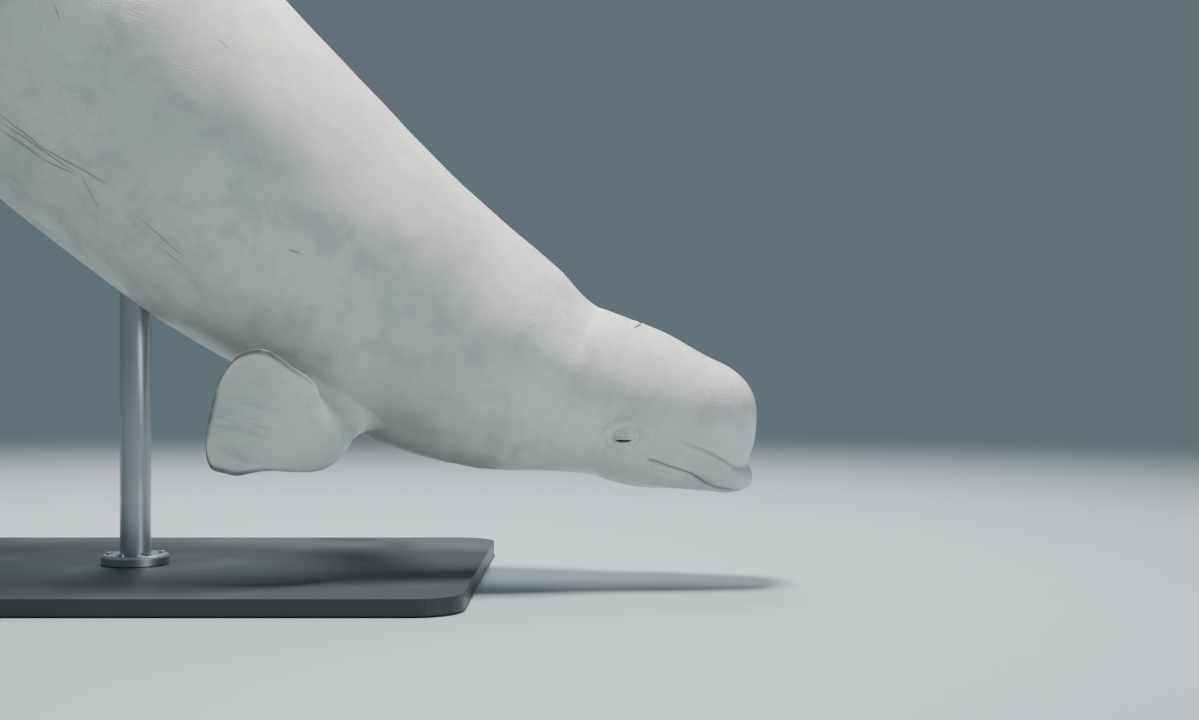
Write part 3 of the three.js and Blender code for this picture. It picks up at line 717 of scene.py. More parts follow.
def flipper_sections(side, angle):
    """Free sections of a flipper in the whale's own frame. Each is an oval of chord and
    thickness, square to a path through the named points, turned with it, thinner behind,
    its margins curled outwards, and closed in a round tip."""
    root = math.radians(float(pitch(FLIPPER_STATION)))
    forward = np.array([math.cos(root), 0, -math.sin(root)])
    upward = np.array([math.sin(root), 0, math.cos(root)])
    out = np.array([0, float(side), 0])
    keys = np.array(FLIPPER, float)
    p, way, t, gone, end, tip = flipper_path(keys, np.stack([forward, out, upward]))
    number = np.arange(len(keys))
    behind, ahead, thick, turn = (curve(np.stack([number, keys[:, k]], 1))(t)[:, None] for k in (3, 4, 5, 6))
    a = np.radians(turn)
    chord = -np.cos(a) * forward + np.sin(a) * upward - FLIPPER_LEAN * np.sin(a) * out
    chord = unit(chord - np.sum(chord * way, 1, keepdims=True) * way)
    normal = np.cross(way, chord)
    normal *= np.sign(normal @ out + normal @ upward)[:, None]

    gone = gone[:, None]
    left = np.clip((end - gone) / FLIPPER_TIP, 0, 1)
    rounded = (1 - (1 - left) ** 2.4) ** 0.45
    curl = FLIPPER_CURL * smooth((t / number[-1] - 0.4) / 0.3)[:, None]
    c, n = np.cos(angle)[None, :], np.sin(angle)[None, :]
    wide = np.where(c > 0, behind, ahead) * c * rounded
    deep = thick / 2 * n * np.where(c > 0, 1 - 0.4 * c, 1) * (0.45 + 0.55 * rounded)
    free = smooth((gone - 230) / 160)
    uneven = np.sin(wide / 27 + gone / 61) + 0.6 * np.sin(wide / 13 - gone / 34 + 2 * side)
    deep += free * 0.7 * uneven * (1 - c * c) * np.sign(n)
    crest = smooth((gone - 148) / 26) * (1 - smooth((gone - 186) / 120))
    deep += FLIPPER_CREST * crest * np.clip(n, 0, 1) ** 0.6
    lift = deep + curl * c * c * rounded
    rings = p[:, None] + chord[:, None] * wide[..., None] + normal[:, None] * lift[..., None]
    rim = smooth((c * c - 0.80) / 0.10) * free + smooth((gone - end + 15) / 13)
    fin = np.stack([wide / 1000, 0 * wide + gone / 1000, 0 * wide + free], -1)
    return rings, tip, np.clip(rim, 0, 1), fin


class Surface:
    """Collects grids of points, with the values that ride on them, into one mesh."""

    def __init__(self, **plain):
        """Takes the names of the values, each with what it is where none is given."""
        self.plain = {name: np.asarray(value, float) for name, value in plain.items()}
        self.values = {name: [] for name in plain}
        self.points, self.faces, self.count = [], [], 0

    def add(self, points, **given):
        """Takes an array of points of any shape and returns their numbers in that shape."""
        shape = points.shape[:-1]
        n = math.prod(shape)
        self.points.append(points.reshape(-1, 3))
        for name, plain in self.plain.items():
            value = np.broadcast_to(given.get(name, plain), shape + plain.shape)
            self.values[name].append(value.reshape(n, *plain.shape))
        numbers = np.arange(self.count, self.count + n).reshape(shape)
        self.count += n
        return numbers

    def strips(self, numbers, keep=None, turned=None):
        """Quads between the rows of a grid of point numbers that closes round its rows. In
        the turned columns a quad starts at its next corner, which turns its diagonal."""
        a, b = numbers[:-1], numbers[1:]
        quads = np.stack([a, np.roll(a, -1, 1), np.roll(b, -1, 1), b], -1)
        if turned is not None:
            quads[:, turned] = np.roll(quads[:, turned], -1, -1)
        self.faces.append(quads[keep] if keep is not None else quads.reshape(-1, 4))

    def cap(self, row, pole):
        """Triangles from a closed row of point numbers to a pole."""
        nothing = np.full_like(row, -1)
        self.faces.append(np.stack([row, np.roll(row, -1), np.full_like(row, pole), nothing], -1))

    def zip(self, row):
        """Closes the last row of the tube with a strip of quads from its upper half to its
        lower half, the two ends, where both halves share a point, as triangles."""
        half = COLUMNS // 2
        upper = row[:half + 1]
        lower = np.concatenate([row[:1], row[:half - 1:-1]])
        strip = np.stack([upper[:-1], upper[1:], lower[1:], lower[:-1]], -1)
        strip[0, 3] = -1
        strip[-1] = [*strip[-1, [0, 1, 3]], -1]
        self.faces.append(strip)

    def grow(self, edge, parts, end):
        """Joins grids of points to a closed row of numbers, one after the other, and closes
        the last row with one end point. Each comes with its values."""
        grid = np.concatenate([edge[None]] + [self.add(points, **given) for points, given in parts])
        point, given = end
        self.strips(grid)
        self.cap(grid[-1], self.add(point[None], **given)[0])

    def collected(self, name):
        """All that was given for one value."""
        return np.concatenate(self.values[name])

    def mesh(self, name, place=None, masks=None):
        """Builds the mesh in metres, placed in the part's frame by a function."""
        points = np.concatenate(self.points)
        points = place(points) if place else points
        return build_mesh(name, points / 1000, np.concatenate(self.faces), masks or {})


def build_mesh(name, points, faces, masks):
    """A mesh from points and quads, a quad that ends in -1 being a triangle. Turned inside
    out if its signed volume is below zero."""
    three = faces[:, 3] < 0
    corners = np.where(three, 3, 4)
    used = np.arange(4)[None, :] < corners[:, None]
    tri = np.concatenate([faces[:, :3], faces[~three][:, [0, 2, 3]]])
    a, b, c = (points[tri[:, k]] for k in range(3))
    if np.einsum("ij,ij->", a, np.cross(b, c)) < 0:
        faces = np.where(three[:, None], faces[:, [2, 1, 0, 3]], faces[:, [3, 2, 1, 0]])
    mesh = bpy.data.meshes.new(name)
    mesh.vertices.add(len(points))
    mesh.vertices.foreach_set("co", points.astype(np.float32).ravel())
    loops = faces[used]
    mesh.loops.add(len(loops))
    mesh.loops.foreach_set("vertex_index", loops.astype(np.int32))
    mesh.polygons.add(len(faces))
    starts = np.concatenate([[0], np.cumsum(corners)[:-1]])
    mesh.polygons.foreach_set("loop_start", starts.astype(np.int32))
    mesh.polygons.foreach_set("use_smooth", np.ones(len(faces), bool))
    mesh.update(calc_edges=True)
    mesh.validate()
    for key, values in masks.items():
        vector = values.ndim == 2
        layer = mesh.attributes.new(key, "FLOAT_VECTOR" if vector else "FLOAT", "POINT")
        layer.data.foreach_set("vector" if vector else "value", values.astype(np.float32).ravel())
    return mesh


def new_piece(name, mesh, material, slot, *nodes):
    """An object at the origin that rides on the part's one body and stands for nodes."""
    piece = bpy.data.objects.new(name, mesh)
    bpy.context.scene.collection.objects.link(piece)
    piece.data.materials.append(material)
    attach(piece, "root")
    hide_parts(*nodes)
    return piece


class Window:
    """A rectangle of the body's grid round a station and an angle, cut out so that a
    patch can grow into it. Patches are laid out flat: u backwards from the window's
    middle, v round the body from it, on the far side mirrored."""

    def __init__(self, q, station, angle, size, girth, side=1):
        long, turn = size[0], math.radians(size[1])
        self.station, self.angle, self.girth, self.side = station, angle, girth, side
        away = [np.abs(HEART[0] + q - at) + 1e6 * (q < 0) for at in (station - long, station + long)]
        r0, r1 = (int(np.argmin(gap)) for gap in away)
        c0, c1 = (round(angle / COLUMN_TURN + part / COLUMN_TURN) for part in (-turn, turn))
        up, right = np.arange(r0, r1), np.arange(c0, c1)
        rows = np.concatenate([np.full(len(right), r0), up, np.full(len(right), r1), up[::-1] + 1])
        cols = np.concatenate([right, np.full(len(up), c1), right[::-1] + 1, np.full(len(up), c0)])
        self.hole = np.ix_(up, right % COLUMNS)
        self.edge = rows, cols % COLUMNS
        self.u = HEART[0] + q[rows] - station
        self.v = (cols * COLUMN_TURN - angle) * girth * side

    def close_in(self, u, v, count, power):
        """Rings of flat places from the window's edge to a line, start + (end - start) x
        (1 - (1 - t)^power), and the smooth body's points there."""
        t = (np.arange(1, count + 1) / count)[:, None]
        ease = 1 - (1 - t) ** power
        u, v = self.u + (u - self.u) * ease, self.v + (v - self.v) * ease
        angle = self.angle + v / self.girth * self.side
        return u, v, ring(self.station - HEART[0] + u, angle)


def on_side(angle, side):
    """An angle round the body, on the left or mirrored to the right."""
    return angle if side > 0 else math.pi - angle


def eye_angle(side):
    """Angle of an eye round its ring."""
    height = EYE_HEIGHT - float(heart_height(EYE_STATION - HEART[0]))
    return on_side(math.atan2(height, EYE_OUT), side)


def eye_place(side):
    """Centre of an eyeball in body coordinates, and its backward, upward and outward ways."""
    q, a = EYE_STATION - HEART[0], eye_angle(side)
    at = ring(q, a)
    n = outward(at)
    back = ring(q + 6, a) - ring(q - 6, a)
    back = unit(back - n * (back @ n))
    up = np.cross(n, back) * side
    up *= np.sign(up[2])
    return at - n * EYE_SUNK, back, up, n


def eye_line(phi):
    """The narrow almond opening of the lids: an oval with sharpened corners, slanted."""
    long, high, low = EYE_OPENING
    along = long * np.cos(phi)
    above = np.where(np.sin(phi) > 0, high, low) * np.sign(np.sin(phi)) * np.abs(np.sin(phi)) ** 1.25
    lean = math.radians(EYE_SLANT)
    return (EYE_SHIFT[0] + along * math.cos(lean) - above * math.sin(lean),
            EYE_SHIFT[1] + along * math.sin(lean) + above * math.cos(lean))


def eye_patch(q, side):
    """Lids round an eye: rings of points close in from the edge of a window to the opening,
    turn in over the lid's edge, and go round behind the ball. The lid lies on the ball
    like cloth: the soft maximum of the ball's height and of a low dome. Folds are bells of
    the distance from the opening, the brow bells along an arch above it."""
    window = Window(q, EYE_STATION, eye_angle(side), EYE_WINDOW, EYE_GIRTH, side)
    phi = np.arctan2(window.v - EYE_SHIFT[1] - 0.5, window.u - EYE_SHIFT[0])
    edge_u, edge_v = eye_line(phi)
    u, v, base = window.close_in(edge_u, edge_v, EYE_RINGS, 1.9)
    d, crease = relief(base)
    away, r = np.hypot(u - edge_u, v - edge_v), np.hypot(u * 0.95, v)
    cover = EYE_RADIUS + 3.0
    ball = np.sqrt(np.clip(cover ** 2 - r ** 2, 0, None)) - EYE_SUNK - 40 * smooth((r - cover + 4) / 8)
    dome = 2.4 * smooth((52 - r) / 34)
    d += dome + 2.2 * np.logaddexp(0, (ball - dome) / 2.2) * smooth((44 - r) / 14)
    upper = smooth(np.sin(phi) * 1.4 + 0.45)
    arch = np.hypot(u * 0.86 + 2, v - 2)
    for deep, at, width in BROW:
        d -= deep * bell(arch - at, width) * upper
    for deep, at, width, below, above in LID_FOLDS:
        d -= deep * bell(away - at, width) * (below + (above - below) * upper)
    crow = np.cos(phi * 13 + 0.6 * np.sin(away / 4)) * np.abs(np.cos(phi)) ** 4
    d -= 0.6 * bell(away - 14, 10) * np.clip(crow, 0, 1)
    ear = bell(np.hypot(u - EAR[0], v - EAR[1]), EAR[2])
    placed = base + outward(base) * (d - 1.6 * ear)[..., None]
    # Painted shade: darker at the lid's edge, in the ear pit, in the upper lid's fold and in the groove
    # under the brow, over the painted shade of the creases.
    dark = crease + 0.55 * bell(away, 1.3) + 0.8 * ear
    dark += (0.3 * bell(away - 5.8, 1.2) + 0.10 * bell(arch - 24, 3.0)) * upper
    socket, bottom_point = eye_socket(placed[-1], side)
    # The socket behind the lids and the point behind the ball are painted fully dark, as painted shade.
    parts = [(bend(placed), {"crease": np.clip(dark, 0, 1)}), (bend(socket), {"crease": 1.0})]
    return window, parts, (bend(bottom_point), {"crease": 1.0})


def eye_socket(lid, side):
    """Rings behind the lid's edge: over the edge, on to the ball, then along great circles
    round the back of it, close over the ball, and the point they end at."""
    centre, back, up, n = eye_place(side)
    way = lid - centre
    gap = np.linalg.norm(way, axis=1, keepdims=True) - EYE_RADIUS - 0.35
    way = unit(way)
    shell = EYE_RADIUS + 0.35
    inset = unit(centre + back * EYE_SHIFT[0] + up * EYE_SHIFT[1] + n * EYE_RADIUS - lid)
    over = [lid + inset * 0.55 - way * gap * 0.2, lid + inset * 0.8 - way * gap * 0.6,
            centre + way * shell + inset * 0.5]
    share = (np.arange(1, 10) / 10)[:, None, None]
    whole = np.arccos(np.clip(-way @ n, -1, 1))[None, :, None]
    round_back = (np.sin((1 - share) * whole) * way - np.sin(share * whole) * n) / np.sin(whole)
    return np.concatenate([np.stack(over), centre + shell * round_back]), centre - shell * n


def blowhole_patch(q):
    """The blowhole: rings close in from the edge of a window to a crescent slit on the top
    of the head, whose lips swell a little and roll down into it."""
    window = Window(q, BLOW_STATION, math.pi / 2, BLOW_WINDOW, BLOW_GIRTH)
    phi = np.arctan2(window.v / 78, window.u / 38)
    slit_v = BLOW_HALF * np.sin(phi)
    slit_u = BLOW_SWEEP * (slit_v / BLOW_HALF) ** 2 + 1.2 * np.cos(phi) * np.abs(np.cos(phi)) ** 0.5
    u, v, base = window.close_in(slit_u, slit_v, BLOW_RINGS, 1.8)
    d, crease = relief(base)
    away, across = np.hypot(u - slit_u, v - slit_v), np.abs(v) / BLOW_HALF
    ends = smooth((1.25 - across) / 0.5)
    behind = smooth(0.5 + np.cos(phi))
    d += (0.5 + 0.2 * behind) * bell(away - 9, 9) * ends - 2.2 * bell(away, 2.2) * (0.3 + 0.7 * ends)
    d -= 0.4 * bell(away - 20, 6) * ends * behind
    n = outward(base)
    placed = base + n * d[..., None]
    # Painted shade along the slit.
    dark = np.clip(crease + bell(away, 2.0), 0, 1)
    deep = np.array(BLOW_DEEP)[:, None, None] * (0.25 + 0.75 * (1 - across[-1] ** 2)[:, None])
    inner = placed[-1] - n[-1] * deep
    inner[..., 1] *= np.array(BLOW_NARROW)[:, None]
    bottom_point = np.mean(inner[-1], 0) - np.array([0, 0, 1.0])
    # Inside the slit painted fully dark, as painted shade.
    parts = [(bend(placed), {"crease": dark}), (bend(inner), {"crease": 1.0})]
    return window, parts, (bend(bottom_point), {"crease": 1.0})


def flipper_patch(q, side):
    """A flipper grown out of the flank: rings close in over the body from a window's edge
    to an oval foot, rise from it in a cubic with the body's slope at one end and the
    path's way at the other, and go on as free sections to the tip."""
    angle = on_side(math.atan2(FOOT_AT[1], FOOT_AT[0]), side)
    window = Window(q, FOOT_STATION, angle, FOOT_WINDOW, FOOT_GIRTH, side)
    phi = np.arctan2(window.v / 66, window.u / 132)
    _, _, base = window.close_in(FOOT_HALF[0] * np.cos(phi), FOOT_HALF[1] * np.sin(phi), FOOT_RINGS, 1)
    foot, crease = dress(base)
    sections, tip, rim, fin = flipper_sections(side, phi)
    first, target = foot[-1], sections[0]
    gap = np.linalg.norm(target - first, axis=1, keepdims=True)
    w = (np.arange(1, RISE_RINGS + 1) / (RISE_RINGS + 1))[:, None, None]
    leave, arrive = unit(first - foot[-3]) * gap * 1.15, unit(sections[1] - target) * gap
    rise = cubic(w, first, target, leave, arrive)
    arm = {"rim": np.concatenate([0 * rise[..., 0], rim]), "fin": np.concatenate([0 * rise, fin])}
    parts = [(foot, {"crease": crease, "chart": chart(base)}), (np.concatenate([rise, sections]), arm)]
    return window, parts, (tip, {"rim": 1.0, "fin": fin[-1, 0]})


def girth_at(s):
    """Mean radius of the trunk's section at a station."""
    return (top(s) - bottom(s) + 2 * half_width(s)) / 4


def on_chart(s, lift):
    """A point of the chart in metres from a station and an angle over the horizontal."""
    return np.array([s, float(girth_at(s)) * math.radians(90 - lift)]) / 1000


def chart(p):
    """Flat coordinates of the skin in metres: the station, the way down from the back
    measured round the body, and the side, all for marks that follow the skin."""
    s, y, h = split(p)
    down = np.pi / 2 - np.arctan2(h, np.abs(y))
    return np.stack([s, girth_at(np.maximum(s, CHART_FROM)) * down, y], -1) / 1000


def scar_layers(flat):
    """The scars as vector layers over the chart, each holding the signed distance to its
    nearest scar in metres, that scar's half width, narrowing to nothing at both ends and
    out of reach, and its paleness. Scars near one another go into different layers, so
    that the distance never jumps where a scar can be seen."""
    layers = [np.tile([0.5, 0.0, 0.0], (len(flat), 1)) for _ in range(SCAR_LAYERS)]
    taken = [[] for _ in range(SCAR_LAYERS)]
    for s0, a0, s1, a1, side, width, pale in SCARS:
        start, end = on_chart(s0, a0), on_chart(s1, a1)
        way = end - start
        long = np.hypot(*way)
        far_side = [9.0 * (side > 0), 0]
        dots = start + way * np.linspace(0, 1, 12)[:, None] + far_side
        room = [min([1.0] + [np.hypot(*(d - dots).T).min() for d in others]) for others in taken]
        free = (i for i, r in enumerate(room) if r > 2.2 * SCAR_REACH)
        k = next(free, int(np.argmax(room)))
        taken[k] += list(dots)
        rel = flat[:, :2] - start
        share = rel @ way / long ** 2
        off = (rel[:, 0] * way[1] - rel[:, 1] * way[0]) / long
        beside = (np.abs(off) < SCAR_REACH) & (np.abs(share - 0.5) < 0.5 + 0.03 / long)
        near = beside & (flat[:, 2] * side > 0)
        taper = np.sqrt(np.clip(4 * share * (1 - share), 0, 1)) * width * 0.8 / 1000
        layers[k][near] = np.stack([off, taper, np.full(len(off), float(pale))], -1)[near]
    return layers


def rough_skin(flat):
    """How rough the skin is at points of the chart: the sum of soft round patches."""
    total = np.zeros(len(flat))
    for s, lift, side, size in ROUGH:
        away = np.hypot(*(flat[:, :2] - on_chart(s, lift)).T) * 1000
        total += bell(away, size) * (flat[:, 2] * side > 0)
    return np.clip(total, 0, 1)


def skin_mesh(name):
    """The whole skin: the body's tube with its windows cut, lids, blowhole and flippers
    grown into them, the pole closed in front and the flukes zipped behind."""
    skin = Surface(crease=0.0, rim=0.0, chart=(0.0, 9.0, 0.0), fin=(0.0, 0.0, 0.0))
    q, theta, p = body_grid()
    whale, crease = dress(p)
    pole = skin.add(bend(ring(-90.0, 0.0))[None])
    numbers = skin.add(whale, crease=crease, chart=chart(p))
    keep = np.ones((len(q) - 1, COLUMNS), bool)
    patches = [blowhole_patch(q), eye_patch(q, 1), eye_patch(q, -1)]
    for window, parts, end in patches + [flipper_patch(q, 1), flipper_patch(q, -1)]:
        skin.grow(numbers[window.edge], parts, end)
        keep[window.hole] = False
    skin.strips(numbers, keep, np.cos(theta + np.pi / COLUMNS) > 0)
    skin.cap(numbers[0][::-1], pole[0])
    tail, rim = fluke_grid(theta)
    s, y, _ = split(tail)
    fin = np.stack([y / 1000, s / 1000, smooth((np.abs(y) - 60) / 80)], -1)
    fluke = np.concatenate([numbers[-1:], skin.add(bend(tail), rim=rim, fin=fin)])
    skin.strips(fluke)
    skin.zip(fluke[-1])
    flat = skin.collected("chart")
    masks = {key: skin.collected(key) for key in ("crease", "rim", "fin")}
    masks["rough"] = rough_skin(flat)
    masks.update((f"scar_{k}", layer) for k, layer in enumerate(scar_layers(flat)))
    return skin.mesh(name, settle, masks)


def eyeball_mesh(name, side, turns):
    """An eyeball in rings from its front pole, bulging there by a bell, with how far out
    each point is from the oval pupil's middle."""
    centre, back, up, n = eye_place(side)
    psi = (np.arange(1, 40) * np.pi / 40)[:, None]
    phi = (np.arange(turns) * 2 * np.pi / turns)[None, :]
    across, above = np.sin(psi) * np.cos(phi), np.sin(psi) * np.sin(phi)
    radius = (EYE_RADIUS + CORNEA * bell(psi, 0.55))[..., None]
    way = across[..., None] * back + above[..., None] * up + np.cos(psi)[..., None] * n
    gaze = np.where(psi < np.pi / 2, np.hypot(across * 0.8, above * 1.25), 1)
    ball = Surface(gaze=0.0)
    front, behind = centre + n * (EYE_RADIUS + CORNEA), centre - n * EYE_RADIUS
    poles = ball.add(bend(np.stack([front, behind])), gaze=np.array([0.0, 1.0]))
    numbers = ball.add(bend(centre + radius * way), gaze=gaze)
    ball.strips(numbers)
    ball.cap(numbers[0][::-1], poles[0])
    ball.cap(numbers[-1], poles[1])
    return ball.mesh(name, settle, {"gaze": ball.collected("gaze")})


def eased(profile, size):
    """A profile with each corner off the axis cut by two bevel points and held by two more,
    so that flat faces shade flat. Points on the axis stay."""
    p = np.array(profile, float)
    out = []
    for k, here in enumerate(p):
        if here[0] == 0:
            out.append(here)
            continue
        for other, steps in ((p[k - 1], (2.2, 1)), (p[(k + 1) % len(p)], (1, 2.2))):
            way = unit(other - here)
            out += [here + way * size * n for n in steps]
    return np.array(out)


def spun_mesh(name, solids):
    """Solids of revolution round upright axes, each a profile of radius and height, the
    axis's place and the points round it. A profile off the axis closes on itself."""
    surface = Surface()
    for profile, x, y, turns in solids:
        a = np.arange(turns) * 2 * np.pi / turns
        on_axis = profile[0][0] == 0
        r, z = (profile[1:-1] if on_axis else profile).T[..., None]
        numbers = surface.add(np.stack([x + r * np.cos(a), y + r * np.sin(a), z + 0 * a], -1))
        if on_axis:
            poles = surface.add(np.array([[x, y, profile[0][1]], [x, y, profile[-1][1]]]))
            surface.cap(numbers[0][::-1], poles[0])
            surface.cap(numbers[-1], poles[1])
        else:
            numbers = np.concatenate([numbers, numbers[:1]])
        surface.strips(numbers)
    return surface.mesh(name)


class Wire:
    """An output of a node. Sums, differences, products and quotients of wires and numbers
    put Math nodes into the tree, so that a finish is written as formulas."""

    def __init__(self, tree, socket):
        self.tree, self.socket = tree, socket

    def __add__(self, other):
        return add_node(self.tree, "Math", {0: self, 1: other}, operation="ADD")

    def __sub__(self, other):
        return add_node(self.tree, "Math", {0: self, 1: other}, operation="SUBTRACT")

    def __rsub__(self, other):
        return add_node(self.tree, "Math", {0: other, 1: self}, operation="SUBTRACT")

    def __mul__(self, other):
        return add_node(self.tree, "Math", {0: self, 1: other}, operation="MULTIPLY")

    def __truediv__(self, other):
        return add_node(self.tree, "Math", {0: self, 1: other}, operation="DIVIDE")

    def at_least(self, other):
        """The greater of this and another value."""
        return add_node(self.tree, "Math", {0: self, 1: other}, operation="MAXIMUM")

    def size(self):
        """This value without its sign."""
        return add_node(self.tree, "Math", {0: self}, operation="ABSOLUTE")

    def ramp(self, low, high):
        """0 below low, 1 above high, with an S curve between."""
        inputs = {"Value": self, "From Min": low, "From Max": high}
        return add_node(self.tree, "MapRange", inputs, "Result", interpolation_type="SMOOTHSTEP")

    def noise(self, scale, detail, roughness, distortion=0.0):
        """A Noise texture's value at this vector."""
        inputs = {"Vector": self, "Scale": scale, "Detail": detail}
        inputs |= {"Roughness": roughness, "Distortion": distortion}
        return add_node(self.tree, "TexNoise", inputs, "Fac")

    def pattern(self, scale, detail, roughness, distortion, begins, full):
        """A noise at this vector, cut to patches by a ramp."""
        return self.noise(scale, detail, roughness, distortion).ramp(begins, full)

    def stretched(self, scale, tilt=0.0):
        """This vector scaled along each axis, then tilted about the y axis."""
        inputs = {"Vector": self, "Scale": scale, "Rotation": (0, tilt, 0)}
        return add_node(self.tree, "Mapping", inputs, "Vector")


def plug(socket, value):
    """Joins a wire to an input, or sets the input to a number, a vector or a colour."""
    if isinstance(value, Wire):
        value.tree.links.new(value.socket, socket)
    elif socket.type == "RGBA":
        socket.default_value = (*value, 1.0)
    else:
        socket.default_value = value


def add_node(tree, kind, inputs, *outputs, **settings):
    """A shader node with its settings and its inputs by name or number. Returns the wire
    of the named output, of the first where none is named, or a list for several."""
    node = tree.nodes.new("ShaderNode" + kind)
    for name, value in settings.items():
        setattr(node, name, value)
    for name, value in inputs.items():
        plug(node.inputs[name], value)
    wires = [Wire(tree, node.outputs[name]) for name in outputs or (0,)]
    return wires if len(wires) > 1 else wires[0]


def painted(share, under, over):
    """A colour painted over another by a share, each colour a wire or three numbers."""
    return add_node(share.tree, "Mix", {0: share, 6: under, 7: over}, 2, data_type="RGBA")


def node_group(name, inputs, outputs):
    """An empty node group with named inputs, floats by their defaults or vectors, and
    float outputs. Returns it with the wires of its inputs and its output node."""
    group = bpy.data.node_groups.new(name, "ShaderNodeTree")
    for label, default in inputs.items():
        kind = "NodeSocketVector" if default is None else "NodeSocketFloat"
        socket = group.interface.new_socket(label, in_out="INPUT", socket_type=kind)
        if default is not None:
            socket.default_value = default
    for label in outputs:
        group.interface.new_socket(label, in_out="OUTPUT", socket_type="NodeSocketFloat")
    given = group.nodes.new("NodeGroupInput")
    result = group.nodes.new("NodeGroupOutput")
    return group, [Wire(group, given.outputs[label]) for label in inputs], result


def scar_group():
    """Scars of one layer: 1 on the line, falling to 0 at its half width, split into dark
    and pale marks. The wander moves the line a little to either side."""
    inputs = {"Layer": None, "Wander": 0.0, "Dark": 0.0, "Pale": 0.0}
    group, (layer, wander, dark, pale), result = node_group("skin_scar", inputs, ("Dark", "Pale"))
    off, half_wide, paleness = add_node(group, "SeparateXYZ", {0: layer}, "X", "Y", "Z")
    gap = (off + wander).size()
    mask = (1.0 - gap / half_wide.at_least(1e-5)).ramp(0.0, 0.8)
    pale_mask = mask * paleness
    dark_mask = mask - pale_mask
    plug(result.inputs["Dark"], dark.at_least(dark_mask))
    plug(result.inputs["Pale"], pale.at_least(pale_mask))
    return group


def crinkle_group():
    """Leathery skin: fine stretched wrinkles between small cells, as a height."""
    inputs = {"Vector": None, "Scale": 1.0}
    group, (vector, scale), result = node_group("skin_crinkle", inputs, ("Height",))
    lean = 0.66
    vector = add_node(group, "VectorMath", {0: vector, "Scale": scale}, operation="SCALE")
    warp = vector.noise(scale=30, detail=1, roughness=0.5)
    inputs = {0: (0.04, 0.04, 0.04), 1: warp, 2: vector}
    moved = add_node(group, "VectorMath", inputs, operation="MULTIPLY_ADD")
    cells = {"Vector": moved.stretched((0.55, 1, 1.5), lean), "Scale": 125}
    to_edge = add_node(group, "TexVoronoi", cells, "Distance", feature="DISTANCE_TO_EDGE")
    fine = vector.stretched((0.7, 1, 2.4), lean).noise(scale=150, detail=3, roughness=0.6)
    plug(result.inputs["Height"], to_edge.ramp(0.0, 0.16) * 0.18 + fine * 0.75)
    return group


class Finish:
    """A new material: its shader, and the Object coordinates that its patterns read."""

    def __init__(self, name):
        self.material = bpy.data.materials.new(name)
        self.material.use_nodes = True
        self.tree = self.material.node_tree
        self.tree.nodes.clear()
        self.shader = self.tree.nodes.new("ShaderNodeBsdfPrincipled")
        self.output = self.tree.nodes.new("ShaderNodeOutputMaterial")
        self.tree.links.new(self.shader.outputs["BSDF"], self.output.inputs["Surface"])
        self.coords = add_node(self.tree, "TexCoord", {}, "Object")

    def attribute(self, name, output="Fac"):
        """A value that rides on the mesh."""
        return add_node(self.tree, "Attribute", {}, output, attribute_name=name)

    def shade(self, values):
        """Gives the shader its inputs, each a wire or a plain value."""
        for name, value in values.items():
            plug(self.shader.inputs[name], value)

    def bump(self, height, strength, distance):
        """Raises the surface by a height, at most a distance in metres."""
        inputs = {"Height": height, "Strength": strength, "Distance": distance}
        self.shade({"Normal": add_node(self.tree, "Bump", inputs, "Normal")})


